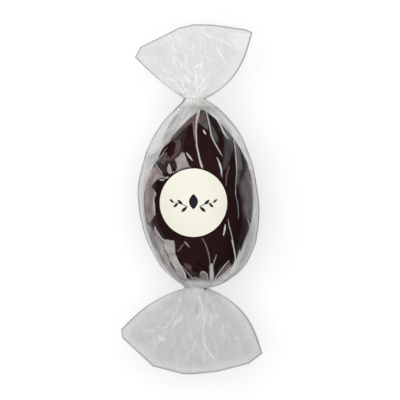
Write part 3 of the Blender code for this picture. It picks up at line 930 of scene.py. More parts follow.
# %% Mark the painted shade and the cream film
MARGIN_SHADE = 0.34
MARGIN_RIM = (0.93, 0.97)
LOWER_SIDE_SHADE = 0.62
LOWER_SIDE_STARTS = (0.80, 0.88)
LOWER_SIDE_ENDS = (0.95, 0.98)
LOWER_SIDE_DOWN = (0.006, 0.014)
# Each spot: its strength, its centre and its radius
NECK_SPOTS = ((1.0, (0.0034, 0.0364), 0.0031), (0.35, (0.0030, -0.0330), 0.0026))


def neck_spots(x, y):
    """Return 1 in the cream spots where the film is drawn tightest, falling to 0 around them."""
    spots = [share * (1.0 - smooth_step(np.hypot(x - centre[0], y - centre[1]) / radius, 0.3, 1.0))
             for share, centre, radius in NECK_SPOTS]
    return np.maximum(*spots)


# The edge mark is painted shade: a grey outline along each side crease and over the margin
edge = smooth_step(side_crease, 0.1 * SIDE_CREASE_HEIGHT, 0.6 * SIDE_CREASE_HEIGHT)
off_rim = 1.0 - smooth_step(-across, *MARGIN_RIM)
edge = np.maximum(edge, MARGIN_SHADE * margin * off_rim * (1.0 + ribs))
# More painted shade on the lower sides
beside = smooth_step(np.abs(across), *LOWER_SIDE_STARTS)
beside *= 1.0 - smooth_step(np.abs(across), *LOWER_SIDE_ENDS)
shade = LOWER_SIDE_SHADE * beside * smooth_step(-skin_y, *LOWER_SIDE_DOWN)
store(film_body, "edge", np.maximum(edge, shade))
store(film_body, "veil", neck_spots(film_x, skin_y) * upper)
close_seams(film_body, 0.000001)
bpy.ops.object.shade_smooth()

# %% [markdown]
# ## The fans
# Past each neck the tube of film is pressed flat and spreads. Its front and back layers lie
# close together and share their two side edges. The free edge is cut straight before the film
# is pleated, so once it's spread the edge shows a few blunt corners, listed here in mm.

# %% Sizes of the fans
# edge, folds and pale_patches are in mm seen from above, and the rest is in metres. bows says
# how far the left and right side edges bulge, lift how far the free edge rises, and phase
# shifts the pleats. streaks is the number of fine creases on each layer, and streak_light the
# strength of their painted highlights. The first number of a fold is its painted highlight's
# strength, and that of a pale patch its painted sheen's.
TOP_FAN = {
    "neck": TOP_NECK,
    "neck_half_width": TOP_NECK_HALF_WIDTH,
    "edge": ((-21.2, 53.2), (-19.2, 57.1), (-4.6, 64.4), (0.8, 65.6), (7.8, 65.5),
             (20.0, 63.8), (22.7, 62.6)),
    "bows": (0.0006, 0.0034),
    "lift": 0.0022,
    "phase": 0.0,
    "seed": 21,
    "streaks": 300,
    "streak_light": 0.85,
    "folds": (
        (0.9, (9.0, 57.3, 0.2), (10.8, 54.4, 0.6), (12.5, 51.4, 0.2)),
        (0.7, (3.7, 64.2, 0.6), (5.8, 61.5, 0.8), (10.1, 59.9, 0.5), (14.4, 57.8, 0.8),
         (16.8, 55.9, 0.2)),
        (0.8, (-12.2, 54.8, 0.1), (-13.0, 52.6, 0.3), (-13.8, 50.3, 0.1)),
    ),
    "pale_patches": (
        (0.7, 0.8, (14.5, 62.9), (22.9, 62.3), (19.8, 54.0), (16.8, 56.2), (14.5, 59.7)),
    ),
}
BOTTOM_FAN = {
    "neck": BOTTOM_NECK,
    "neck_half_width": BOTTOM_NECK_HALF_WIDTH,
    "edge": ((-26.6, -48.8), (-26.1, -52.0), (-14.6, -62.6), (-3.2, -65.6), (1.0, -65.6),
             (9.4, -64.7), (21.5, -61.6), (26.6, -57.8)),
    "bows": (0.0022, 0.0041),
    "lift": -0.0026,
    "phase": 1.7,
    "seed": 33,
    "streaks": 170,
    "streak_light": 0.42,
    "folds": (
        (0.8, (2.5, -35.7, 0.3), (3.8, -40.1, 0.25), (4.7, -45.7, 0.3), (4.1, -48.8, 0.15)),
        (0.9, (3.8, -53.2, 0.1), (7.2, -58.2, 0.35), (8.7, -60.1, 0.1)),
        (0.7, (-0.5, -62.8, 0.1), (1.2, -64.1, 0.4), (3.6, -63.0, 0.2)),
    ),
    "pale_patches": ((0.5, 0.3, (-12.8, -50.2), (-9.0, -52.9), (-12.6, -53.0)),),
}
print("corners of the fans' free edges:", len(TOP_FAN["edge"]), "and", len(BOTTOM_FAN["edge"]))

# %% [markdown]
# ## The plan of a fan
# A fan is a sheet between two curves: across the neck, and along the free edge. Its points
# are blended from the one to the other, and its two side edges bow outwards a little, because
# film springs open once it is past the twist.

# %% The plan of a fan
BOW_PEAKS = 0.88


def point_on_edge(corners, share):
    """Return points at shares of the way along a row of corners."""
    corners = np.array(corners) * MM
    lengths = np.hypot(*np.diff(corners, axis=0).T)
    marks = np.concatenate([[0.0], np.cumsum(lengths)]) / lengths.sum()
    return np.interp(share, marks, corners[:, 0]), np.interp(share, marks, corners[:, 1])


def fan_plan(fan, across, out):
    """Return where a fan's point lies seen from above; across and out are shares of the fan."""
    edge_x, edge_y = point_on_edge(fan["edge"], 0.5 + 0.5 * across)
    bow = np.where(across < 0.0, *fan["bows"])
    swell = bow * np.abs(across) ** 3 * np.sin(math.pi * out ** BOW_PEAKS)
    x = mix(fan["neck"][0] + fan["neck_half_width"] * across, edge_x, out) + np.sign(across) * swell
    y = mix(fan["neck"][1], edge_y, out) - math.copysign(0.5, fan["neck"][1]) * swell
    return x, y


corner_x, corner_y = fan_plan(TOP_FAN, np.array([1.0]), 1.0)
print("top fan's right corner, mm:", np.round(corner_x / MM, 1), np.round(corner_y / MM, 1))

# %% [markdown]
# ## Creases of a fan
# Film that was twisted keeps hundreds of short, wandering creases, closer together near the
# neck. Each is drawn straight into the marks as a fine swaying line, a painted highlight of
# the light that a small wrinkle catches, because ridges for all of them would need a far
# finer mesh. Both layers get their own.

# %% Wandering creases
# The faintest painted highlight of a wandering crease
CREASE_FAINTEST = 0.08


def add_squiggle(creases, x, y, start, heading, chance, fan_light):
    """Draw one short wandering crease's painted highlight into the strengths, from a start along a
    heading.
    """
    length = chance.uniform(0.0025, 0.010)
    amplitude = chance.uniform(0.0001, 0.0007)
    wavelength = chance.uniform(0.004, 0.010)
    half_width = chance.uniform(0.00020, 0.00085)
    light = CREASE_FAINTEST + fan_light * chance.random() ** 2
    turn = chance.uniform(0.0, 2.0 * math.pi)
    near = (np.abs(x - start[0]) < length) & (np.abs(y - start[1]) < length)
    along = (x[near] - start[0]) * math.cos(heading) + (y[near] - start[1]) * math.sin(heading)
    aside = (y[near] - start[1]) * math.cos(heading) - (x[near] - start[0]) * math.sin(heading)
    sway = amplitude * (np.sin(2.0 * math.pi * along / wavelength + turn) - math.sin(turn))
    ends = smooth_step(along, 0.0, 0.25 * length) * (1.0 - smooth_step(along, 0.5 * length, length))
    drawn = light * ends * line(np.abs(aside - sway), half_width)
    creases[near] = np.maximum(creases[near], drawn)


def fan_squiggles(fan, x, y, side):
    """Return the painted highlights of short wandering creases over both layers, denser near the
    neck.
    """
    chance = np.random.default_rng(fan["seed"])
    strength = np.zeros(x.shape)
    for layer in (1.0, -1.0):
        on_layer = side == layer
        drawn = np.zeros(on_layer.sum())
        for _ in range(fan["streaks"]):
            across = np.clip(chance.normal(0.05, 0.42, 1), -0.95, 0.95)
            out = 0.02 + 0.9 * chance.random() ** 1.6
            start = np.concatenate(fan_plan(fan, across, out))
            onward = np.concatenate(fan_plan(fan, across, out + 0.05)) - start
            heading = math.atan2(onward[1], onward[0]) + chance.normal(0.0, 0.5)
            add_squiggle(drawn, x[on_layer], y[on_layer], start, heading, chance,
                         fan["streak_light"])
        strength[on_layer] = drawn
    return strength


print("wandering creases on each layer:", TOP_FAN["streaks"], "and", BOTTOM_FAN["streaks"])

# %% [markdown]
# ## Large folds and milky borders of a fan
# A few large folds and one or two pale patches are listed, as on the body: the folds as painted
# highlights and the patches as painted sheen. Round its rim the film of a fan is scuffed and a
# little milky, and along the very edge of the cut sheet a thin grey outline of painted shade
# is drawn.

# %% Marks of a fan
RIM_STARTS = 0.97
RIM_FULL = 0.99
BORDER = 0.30


def fan_hand_folds(fan, x, y):
    """Return the painted highlights of a fan's listed folds."""
    painted_highlight = np.zeros(x.shape)
    for light, *route in fan["folds"]:
        stops = np.array(route) * MM
        gap, along = distance_to_route(x, y, stops[:, :2])
        half_width = np.interp(along, range(len(route)), stops[:, 2])
        painted_highlight = np.maximum(painted_highlight, light * line(gap, half_width))
    return painted_highlight


def mark_fan(piece, fan, across, out, side, crease):
    """Keep a fan's marks for its material, with a milky border and a grey outline of painted shade.
    """
    x, y = fan_plan(fan, across, out)
    border = np.maximum(smooth_step(out, 0.85, 0.97), smooth_step(np.abs(across), 0.80, 0.95))
    crease = np.maximum(crease, BORDER * border)
    # Pale patches are painted sheen, kept with the painted highlights
    for light, softness, *corners in fan["pale_patches"]:
        cover = inside_outline(x, y, np.array(corners) * MM, softness * MM)
        crease = np.maximum(crease, light * cover)
    side_edge = smooth_step(np.abs(across), RIM_STARTS, RIM_FULL)
    store(piece, "crease", np.minimum(crease, 1.0))
    # The edge mark is a thin grey outline of painted shade
    store(piece, "edge", np.maximum(smooth_step(out, 0.975, RIM_FULL), side_edge))
    store(piece, "pocket", NECK_PALENESS * (1.0 - smooth_step(out, 0.0, 0.15)))
    store(piece, "veil", neck_spots(x, y) * (side > 0.0))


print("folds placed by hand in the fans:", len(TOP_FAN["folds"]) + len(BOTTOM_FAN["folds"]))

# %% [markdown]
# ## The form of a fan
# The same rolled grid that made the body makes a fan. At the neck it is round, and it closes
# to two flat layers a third of the way out. Pleats are waves across it that grow outwards,
# and crumpling at three sizes makes the gathers, facets and crinkles. A cloth simulation could
# pleat a real sheet, but every small change would give quite another fan.

# %% Shape a fan
PLEATS = ((2, 0.50, 0.9), (3, 0.34, 2.6), (5, 0.16, 5.2))
PLEAT_DEPTH = 0.0009
LAYER_GAP = 0.0006
FLAT_FROM = 0.35
LAYERS_APART = 0.02
FAN_SPREAD = 0.022
DRAWN_OUT = 0.30
GATHER_HEIGHT = 0.00018
FAN_FACET_HEIGHT = 0.00016
FAN_CRINKLE_HEIGHT = 0.00003
STREAK_HEIGHT = 0.00005


def shape_fan(piece, fan):
    """Flatten the rolled grid into a fan of two layers with pleats and crinkles."""
    round_film, out, _ = positions(piece).T
    side = np.where(round_film < 0.5, 1.0, -1.0)
    fold = np.where(round_film <= 0.5, round_film, 1.0 - round_film)
    round_across = np.cos(2.0 * math.pi * round_film)
    across = mix(round_across, 1.0 - 4.0 * fold, smooth_step(out, 0.0, 0.4))
    x, y = fan_plan(fan, across, out)
    sides_shut = np.sqrt(np.clip(1.0 - across * across, 0.0, 1.0))
    pleat = PLEAT_DEPTH * out ** 0.8 * sum_of_waves(PLEATS, math.pi * across + fan["phase"])
    neck_half_height = fan["neck_half_width"] * NECK_HEIGHT_RATIO
    opening = mix(neck_half_height, LAYER_GAP, smooth_step(out, 0.0, FLAT_FROM)) * sides_shut
    flat = np.stack([x, y, LAYERS_APART * side], axis=1)
    from_neck = DRAWN_OUT * (y - fan["neck"][1])
    fanned = np.stack([FAN_SPREAD * across, from_neck, LAYERS_APART * side], axis=1)
    near_neck = 1.0 - smooth_step(out, 0.15, 0.85)
    gathers, gather_creases = crumple(fanned, 0.0060, fan["seed"])
    facets, facet_creases = crumple(flat, 0.0110, fan["seed"] + 1)
    crinkles, crinkle_creases = crumple(mix(flat, fanned, 0.3), 0.0040, fan["seed"] + 2)
    streaks = np.maximum(fan_squiggles(fan, x, y, side), fan_hand_folds(fan, x, y) * (side > 0.0))
    relief = GATHER_HEIGHT * gathers * near_neck + FAN_FACET_HEIGHT * facets
    relief += FAN_CRINKLE_HEIGHT * crinkles
    relief += STREAK_HEIGHT * streaks
    raised = opening + relief * smooth_step(out, 0.0, 0.12) * sides_shut
    z = AXIS_HEIGHT + fan["lift"] * out * out + pleat + side * raised
    move_points(piece, np.stack([x, y, z], axis=1))
    crease = streaks + 0.25 * gather_creases * near_neck
    crease += 0.03 * facet_creases + 0.10 * crinkle_creases
    mark_fan(piece, fan, across, out, side, crease)


print("gap between a fan's layers, mm:", round(2.0 * LAYER_GAP / MM, 1))

# %% [markdown]
# ## Both fans
# The two fans differ only in the values listed above, so one function makes both. Each gets
# its own mesh, and it is dense in points, because the creases are kept point by point.

# %% Model both fans
FAN_AROUND = 600
FAN_ALONG = 150


def make_fan(name, fan):
    """Make one fan."""
    piece = unit_grid(name, FAN_AROUND, FAN_ALONG)
    shape_fan(piece, fan)
    close_seams(piece, 0.00001)
    bpy.ops.object.shade_smooth()
    return piece


film_fan_top = make_fan("film_fan_top", TOP_FAN)
film_fan_bottom = make_fan("film_fan_bottom", BOTTOM_FAN)

# %% [markdown]
# ## The label
# A paper disc is cut round and pressed onto the film. A flattened cylinder would stay flat, for
# it has no points between its middle and its rim. So it starts as a filled circle, which is
# inset many times to give it rings to bend with, and it's then laid over the film's body.
# Solidify gives it the thickness of paper.

# %% Model the label
LABEL_SIDES = 128
LABEL_RINGS = 12
LABEL_GAP = 0.0003
LABEL_THICKNESS = 0.00022


def height_over_film(x, y, gap):
    """Return how high a skin lies that keeps a gap to the film's body."""
    centre_x, half_width, half_height = body_section(y)
    across = np.clip((x - centre_x) / half_width, -0.999, 0.999)
    rise = np.sqrt(1.0 - across * across)
    film_height = half_height * rise * height_left(across, y)
    return AXIS_HEIGHT + film_height + gap * np.hypot(rise, across) / rise


bpy.ops.object.select_all(action="DESELECT")
bpy.ops.mesh.primitive_circle_add(vertices=LABEL_SIDES, radius=1.0, fill_type="NGON")
label = take_new("paper_label")
on_its_own(label)
bpy.ops.object.mode_set(mode="EDIT")
bpy.ops.mesh.select_all(action="SELECT")
for _ in range(LABEL_RINGS):
    bpy.ops.mesh.inset(thickness=1.0 / (LABEL_RINGS + 1))
bpy.ops.mesh.poke()
bpy.ops.object.mode_set(mode="OBJECT")
disc = positions(label)
disc_x = LABEL_CENTRE[0] + LABEL_HALF_WIDTH * disc[:, 0]
disc_y = LABEL_CENTRE[1] + LABEL_HALF_LENGTH * disc[:, 1]
disc_z = height_over_film(disc_x, disc_y, LABEL_GAP)
move_points(label, np.stack([disc_x, disc_y, disc_z], axis=1))
wall = label.modifiers.new("Thickness", "SOLIDIFY")
wall.thickness = LABEL_THICKNESS
wall.offset = 1.0
bpy.ops.object.modifier_apply(modifier="Thickness")
bpy.ops.object.shade_smooth_by_angle(angle=math.radians(40.0))
print("label faces:", len(label.data.polygons))

# %% [markdown]
# ## Shapes for the print
# Ink lies on paper as a skin far thinner than a hair. The motif is an almond between two leafy
# twigs. It could be nodes of the paper, but as shapes of its own it keeps crisp edges. A leaf
# starts as a grid whose long sides are drawn together at both tips, and a stem is the same
# grid, curved and narrowed outwards.

# %% Shapes for the print
TWIG_REACH = 7.4
TWIG_SAG = 1.5
TWIG_STARTS = 2.2
TWIG_WIDTH = 0.34
INK_GAP = 0.00003


def ink_shape(name, outline):
    """Add a grid and lay it on the label; outline turns shares 0 to 1 into x and y in mm."""
    piece = unit_grid(name, 24, 4)
    along, side = positions(piece).T[:2]
    x, y = outline(along, 2.0 * side - 1.0)
    x = LABEL_CENTRE[0] + MM * x
    y = LABEL_CENTRE[1] + MM * y
    gap = LABEL_GAP + LABEL_THICKNESS + INK_GAP
    move_points(piece, np.stack([x, y, height_over_film(x, y, gap)], axis=1))
    return piece


def leaf(centre_x, centre_y, length, width, degrees):
    """Return the outline of a leaf that is pointed at both tips."""
    turn = math.radians(degrees)

    def outline(along, side):
        run = length * (along - 0.5)
        aside = 0.5 * width * side * np.sin(math.pi * along) ** 0.8
        return (centre_x + run * math.cos(turn) - aside * math.sin(turn),
                centre_y + run * math.sin(turn) + aside * math.cos(turn))

    return outline


def stem(hand):
    """Return the outline of a twig's stem, which runs out from the almond to one side."""
    def outline(along, side):
        x = hand * mix(TWIG_STARTS, TWIG_REACH, along)
        thickness = 0.5 * TWIG_WIDTH * mix(1.0, 0.3, along)
        return x, -TWIG_SAG * (1.0 - along) ** 2 + thickness * side

    return outline


print("twig length, mm:", round(TWIG_REACH - TWIG_STARTS, 1))

# %% [markdown]
# ## The print on the label
# The almond comes first, and then each twig with leaves that sit above and below its stem in
# turn and get smaller outwards. All shapes are joined into one piece, as one pull of the press
# prints them together.

# %% Model the print
# The almond's centre x and y, its length and its width in mm, and its turn in degrees
ALMOND = (0.0, 0.4, 5.6, 3.3, 90.0)
LEAF_LENGTH = 2.9
LEAF_WIDTH = 1.15
LEAF_OFFSET = (0.6, 0.95)
LEAF_SLANT = 42.0
LEAVES_ON_A_TWIG = 4

shapes = [ink_shape("almond", leaf(*ALMOND))]
for hand in (-1.0, 1.0):
    shapes.append(ink_shape("stem", stem(hand)))
    for number in range(LEAVES_ON_A_TWIG):
        share = number / (LEAVES_ON_A_TWIG - 1)
        up = 1.0 if number % 2 else -1.0
        size = mix(1.0, 0.7, share)
        leaf_x = hand * (mix(TWIG_STARTS + LEAF_OFFSET[0], TWIG_REACH, share) + LEAF_OFFSET[0])
        leaf_y = -TWIG_SAG * (1.0 - share) ** 2 + LEAF_OFFSET[1] * up * size
        slant = 90.0 - hand * (90.0 - LEAF_SLANT * up)
        outline = leaf(leaf_x, leaf_y, LEAF_LENGTH * size, LEAF_WIDTH * size, slant)
        shapes.append(ink_shape("leaf", outline))
on_its_own(shapes[0])
for shape in shapes:
    shape.select_set(True)
bpy.ops.object.join()
label_print = take_new("label_print")
close_seams(label_print, 0.000001)

# %% [markdown]
# ## A crumb of cocoa
# A crumb of chocolate has been caught in the lower neck. An icosphere has even faces and no
# poles, so it makes a good lump: its points are pushed in and out by chance, and it looks
# broken off.

# %% Model the crumb
CRUMB_PLACE = (0.0050, -0.0334)
CRUMB_RADIUS = 0.00026
CRUMB_ROUGHNESS = 0.35
CRUMB_RISE = 0.8
bpy.ops.object.select_all(action="DESELECT")
bpy.ops.mesh.primitive_ico_sphere_add(subdivisions=3, radius=1.0)
crumb = take_new("cocoa_crumb")
ball = positions(crumb)
broken = CRUMB_RADIUS * (1.0 + CRUMB_ROUGHNESS * chance_field(ball, 0.7, 13))
crumb_points = ball * broken[:, None]
above_axis = CRUMB_RISE * BOTTOM_NECK_HALF_WIDTH * NECK_HEIGHT_RATIO
crumb_points += (*CRUMB_PLACE, AXIS_HEIGHT + above_axis)
move_points(crumb, crumb_points)
bpy.ops.object.shade_smooth()
print("crumb faces:", len(crumb.data.polygons))

# %% [markdown]
# ## Nodes
# Every finish is made from nodes: small steps that turn a point's place into a colour, a
# roughness or a bump. A picture would blur close up and would need unwrapping, while nodes
# stay sharp at any distance. These helpers add a node and fill in its inputs in one line.

# %% Adding nodes
def new_material(name):
    """Return a material without nodes, and its node tree."""
    material = bpy.data.materials.new(name)
    material.use_nodes = True
    material.node_tree.nodes.clear()
    return material, material.node_tree


def add_node(tree, kind, inputs=None, **settings):
    """Add a node, set its options, and set or link its inputs."""
    node = tree.nodes.new(kind)
    for name, value in settings.items():
        setattr(node, name, value)
    for name, value in (inputs or {}).items():
        if isinstance(value, bpy.types.NodeSocket):
            tree.links.new(value, node.inputs[name])
        else:
            node.inputs[name].default_value = value
    return node


def finish_material(material, shader):
    """Link a shader to a new output node, and return the material."""
    tree = material.node_tree
    output = tree.nodes.new("ShaderNodeOutputMaterial")
    tree.links.new(shader, output.inputs["Surface"])
    print(material.name, "nodes:", len(tree.nodes))
    return material


print("materials so far:", [item.name for item in bpy.data.materials])

# %% [markdown]
# ## Nodes that most finishes use
# A natural surface is never even. Noise that reads the point's own place varies its colour,
# and a bump made from finer noise breaks up its gloss. Each of these adds one such node and
# returns the socket that the next node reads.

# %% Noise, bump and mixing nodes
BUMP_DISTANCE = 0.0001


def object_place(tree):
    """Return the place of a point on its own piece."""
    return add_node(tree, "ShaderNodeTexCoord").outputs["Object"]


def noise(tree, where, scale, detail, roughness=0.5):
    """Add a Noise Texture and return its value."""
    settings = {"Vector": where, "Scale": scale, "Detail": detail, "Roughness": roughness}
    return add_node(tree, "ShaderNodeTexNoise", settings).outputs["Fac"]


def map_range(tree, value, start, end, low, high):
    """Add a Map Range node that turns start to end into low to high, and return its result."""
    span = {"Value": value, "From Min": start, "From Max": end, "To Min": low, "To Max": high}
    return add_node(tree, "ShaderNodeMapRange", span).outputs[0]


def bump(tree, height, strength):
    """Add a Bump node and return its normal."""
    settings = {"Height": height, "Strength": strength, "Distance": BUMP_DISTANCE}
    return add_node(tree, "ShaderNodeBump", settings).outputs[0]


def math_node(tree, operation, first, second, clamp=False):
    """Add a Math node and return its result."""
    inputs = {0: first, 1: second}
    return add_node(tree, "ShaderNodeMath", inputs, operation=operation,
                    use_clamp=clamp).outputs[0]


def mix_colour(tree, share, first, second):
    """Add a Mix node for two colours and return its result."""
    node = add_node(tree, "ShaderNodeMix", {"Factor": share}, data_type="RGBA", clamp_factor=True)
    for name, value in (("A", first), ("B", second)):
        socket = next(item for item in node.inputs if item.name == name and item.type == "RGBA")
        if isinstance(value, bpy.types.NodeSocket):
            tree.links.new(value, socket)
        else:
            socket.default_value = value
    return next(item for item in node.outputs if item.type == "RGBA")


print("deepest bump, mm:", BUMP_DISTANCE / MM)

# %% [markdown]
# ## Chocolate
# Dark chocolate is a deep red-brown that is lighter where its cocoa butter has gathered, with
# pores far finer than a millimetre. It could be given a gloss of its own, but film lies over
# all of it and carries the gloss, so the chocolate beneath is left matt.

# %% Chocolate
CHOCOLATE_DARK = (0.0175, 0.0059, 0.0057, 1.0)
CHOCOLATE_LIGHT = (0.035, 0.0128, 0.0123, 1.0)


def make_chocolate():
    """Return matt dark chocolate with faint mottling and fine pores."""
    material, tree = new_material("dark_chocolate")
    where = object_place(tree)
    cloud = noise(tree, where, 120.0, 4.0)
    pores = noise(tree, where, 900.0, 2.0)
    shader = add_node(tree, "ShaderNodeBsdfPrincipled", {
        "Base Color": mix_colour(tree, cloud, CHOCOLATE_DARK, CHOCOLATE_LIGHT),
        "Roughness": map_range(tree, cloud, 0.0, 1.0, 0.45, 0.60),
        "Specular IOR Level": 0.0,
        "Normal": bump(tree, pores, 0.06),
    })
    return finish_material(material, shader.outputs[0])


chocolate = make_chocolate()

# %% [markdown]
# ## The film's haze
# Clear film is all but invisible where it lies flat. Where it is creased, drawn together or
# scuffed it scatters light and looks milky. The marks also hold painted light: highlights
# along creases, sheen in pockets and along the sides, and grey shade at edges. One node
# group turns the marks on the mesh into a colour and into how much of it covers what lies
# behind. It's placed in each film material with that film's own numbers. Noise drawn out
# along the film breaks the milk up.

# %% Inputs and outputs of the haze
WHITE = (1.0, 1.0, 1.0, 1.0)
# Grey of the painted shade at an edge
PAINTED_SHADE_GREY = (0.36, 0.36, 0.36, 1.0)
VEIL_CREAM = (0.90, 0.88, 0.80, 1.0)
MARKS = ("crease", "pocket", "veil", "edge", "warmth")


def empty_haze_group():
    """Return a node group with the haze's named inputs and outputs, and nothing between."""
    group = bpy.data.node_groups.new("film_haze", "ShaderNodeTree")
    for name in ("Low Haze", "High Haze"):
        group.interface.new_socket(name, in_out="INPUT", socket_type="NodeSocketFloat")
    for name in ("Clear Colour", "Warm Colour"):
        group.interface.new_socket(name, in_out="INPUT", socket_type="NodeSocketColor")
    group.interface.new_socket("Colour", in_out="OUTPUT", socket_type="NodeSocketColor")
    group.interface.new_socket("Cover", in_out="OUTPUT", socket_type="NodeSocketFloat")
    return group


HAZE = empty_haze_group()
print("sockets of the haze:", [item.name for item in HAZE.interface.items_tree])

# %% [markdown]
# ## Cover and colour of the haze
# The strongest of several effects wins at each point, as film that is already white can't get
# whiter. A plain haze comes first, then the pockets' painted sheen and the milky necks, the
# creases' painted highlights and the edges' painted shade. The colour follows: tinted where
# the film is warm, cream at the necks, white in a painted highlight and grey in painted shade.

# %% Nodes of the haze
VEIL_COVER = 0.33
# Covers of the painted highlight in a crease and of the painted shade at an edge
CREASE_COVER = 0.85
PAINTED_SHADE_COVER = 0.7
FIBRE_STRETCH = (1.0, 0.3, 1.0)


def fill_haze_group(group):
    """Add the nodes that turn the film's marks into a colour and a cover."""
    given = add_node(group, "NodeGroupInput").outputs
    where = object_place(group)
    marks = {name: add_node(group, "ShaderNodeAttribute", attribute_name=name).outputs["Fac"]
             for name in MARKS}
    cloud = noise(group, where, 260.0, 5.0, 0.7)
    haze = map_range(group, cloud, 0.35, 0.75, given["Low Haze"], given["High Haze"])
    drawn_out = add_node(group, "ShaderNodeVectorMath", {0: where, 1: FIBRE_STRETCH},
                         operation="MULTIPLY").outputs[0]
    streak = map_range(group, noise(group, drawn_out, 300.0, 2.0), 0.35, 0.65, 0.8, 1.2)
    veil = math_node(group, "MULTIPLY", marks["veil"], streak)
    cover = math_node(group, "ADD", haze, math_node(group, "MULTIPLY", veil, VEIL_COVER))
    for mark, share in (("pocket", streak), ("crease", CREASE_COVER), ("edge", PAINTED_SHADE_COVER)):
        strength = math_node(group, "MULTIPLY", marks[mark], share)
        cover = math_node(group, "MAXIMUM", cover, strength, clamp=mark == "edge")
    # White is the painted highlight of a crease, and grey the painted shade of an edge
    colour = mix_colour(group, marks["warmth"], given["Clear Colour"], given["Warm Colour"])
    for mark, tint in (("veil", VEIL_CREAM), ("crease", WHITE), ("edge", PAINTED_SHADE_GREY)):
        colour = mix_colour(group, marks[mark], colour, tint)
    add_node(group, "NodeGroupOutput", {"Colour": colour, "Cover": cover})
    print(group.name, "nodes:", len(group.nodes))


fill_haze_group(HAZE)

# %% [markdown]
# ## Film
# Film is a mixture of two surfaces: milk, which covers what lies behind as far as the haze
# says, and a clear gloss like a mirror's, which grows at a slant by Fresnel. Clear glass
# could stand for it, but light bent through so thin a skin would only add grain. The body is
# clear, and the fans are hazier, because there the film was crushed by the twist. The lower
# fan's milk is a darker grey than the upper one's, which is painted shade.

# %% Film
WARM_TINT = (0.78, 0.48, 0.45, 1.0)
GLOSS_GREY = (0.50, 0.50, 0.50, 1.0)
FILM_IOR = 1.5


def make_film(name, haze, clear_colour, shine, gloss_roughness):
    """Return a clear film with its own haze from low to high, its tint and its gloss."""
    material, tree = new_material(name)
    marks = add_node(tree, "ShaderNodeGroup", node_tree=HAZE)
    marks.inputs["Low Haze"].default_value, marks.inputs["High Haze"].default_value = haze
    marks.inputs["Clear Colour"].default_value = (*clear_colour, 1.0)
    marks.inputs["Warm Colour"].default_value = WARM_TINT
    milky = add_node(tree, "ShaderNodeBsdfPrincipled", {
        "Base Color": marks.outputs["Colour"],
        "Alpha": marks.outputs["Cover"],
        "Roughness": 0.45,
    })
    gloss = add_node(tree, "ShaderNodeBsdfPrincipled", {
        "Base Color": GLOSS_GREY,
        "Metallic": 1.0,
        "Roughness": gloss_roughness,
    })
    fresnel = add_node(tree, "ShaderNodeFresnel", {"IOR": FILM_IOR}).outputs[0]
    mirror = math_node(tree, "MULTIPLY", fresnel, shine, clamp=True)
    surface = add_node(tree, "ShaderNodeMixShader", {
        0: mirror, 1: milky.outputs[0], 2: gloss.outputs[0]})
    return finish_material(material, surface.outputs[0])


film = make_film("clear_film", (0.0, 0.006), (0.85, 0.84, 0.84), 0.50, 0.12)
top_film = make_film("top_fan_film", (0.34, 0.66), (0.81, 0.81, 0.815), 0.6, 0.30)
# The lower fan's darker grey milk is painted shade
bottom_film_shaded = make_film("bottom_fan_film_shaded", (0.46, 0.76), (0.58, 0.58, 0.58), 0.6, 0.30)

# %% [markdown]
# ## Paper
# Label paper is smooth and cream, with fibres a fraction of a millimetre long. Fine noise
# shifts its colour a little and raises a slight bump, which keeps it from looking like card.

# %% Paper
CREAM_DARK = (0.885, 0.865, 0.745, 1.0)
CREAM_LIGHT = (0.930, 0.915, 0.795, 1.0)


def make_paper():
    """Return smooth cream paper with a faint fibre."""
    material, tree = new_material("cream_paper")
    fibre = noise(tree, object_place(tree), 1400.0, 4.0)
    shader = add_node(tree, "ShaderNodeBsdfPrincipled", {
        "Base Color": mix_colour(tree, fibre, CREAM_DARK, CREAM_LIGHT),
        "Roughness": 0.55,
        "Normal": bump(tree, fibre, 0.1),
    })
    return finish_material(material, shader.outputs[0])


paper = make_paper()

# %% [markdown]
# ## Ink
# Printing ink sinks into paper unevenly, so its blue-black is a little lighter here and there.
# It lies too thin to show a relief of its own, so it gets no bump.

# %% Ink
INK_DARK = (0.008, 0.008, 0.014, 1.0)
INK_LIGHT = (0.020, 0.020, 0.030, 1.0)


def make_ink():
    """Return matt blue-black ink that lies a little unevenly."""
    material, tree = new_material("dark_ink")
    cloud = noise(tree, object_place(tree), 900.0, 3.0)
    colour = mix_colour(tree, cloud, INK_DARK, INK_LIGHT)
    shader = add_node(tree, "ShaderNodeBsdfPrincipled", {"Base Color": colour, "Roughness": 0.6})
    return finish_material(material, shader.outputs[0])


ink = make_ink()

# %% [markdown]
# ## Dress the pieces
# Each piece gets its material and is tied to the imported model: the body that it moves with,
# and the solid that it stands for, which is hidden. The egg and the crumb share the wrapper's
# solid with the film, because they lie inside it.

# %% Dress the pieces
def dress(piece, body, material, node):
    """Give a piece its material, its body and the node that it stands for."""
    piece.data.materials.clear()
    piece.data.materials.append(material)
    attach(piece, body)
    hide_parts(node)
    print(piece.name, "replaces", node)


dress(egg, "root", chocolate, "wrapper")
dress(crumb, "root", chocolate, "wrapper")
dress(film_body, "root", film, "wrapper")
dress(film_fan_top, "root", top_film, "wrapper")
dress(film_fan_bottom, "root", bottom_film_shaded, "wrapper")
dress(label, "root", paper, "label")
dress(label_print, "root", ink, "label")

# %% [markdown]
# ## The floor
# The sweet lies on a plain pale floor that isn't part of it. The floor also glows a little,
# so that it stays even and light under the sweet, as a table lit from all round would be.

# %% The floor
FLOOR_SIZE = 4.0
FLOOR_GREY = (0.40, 0.40, 0.40, 1.0)
FLOOR_GLOW = 0.62

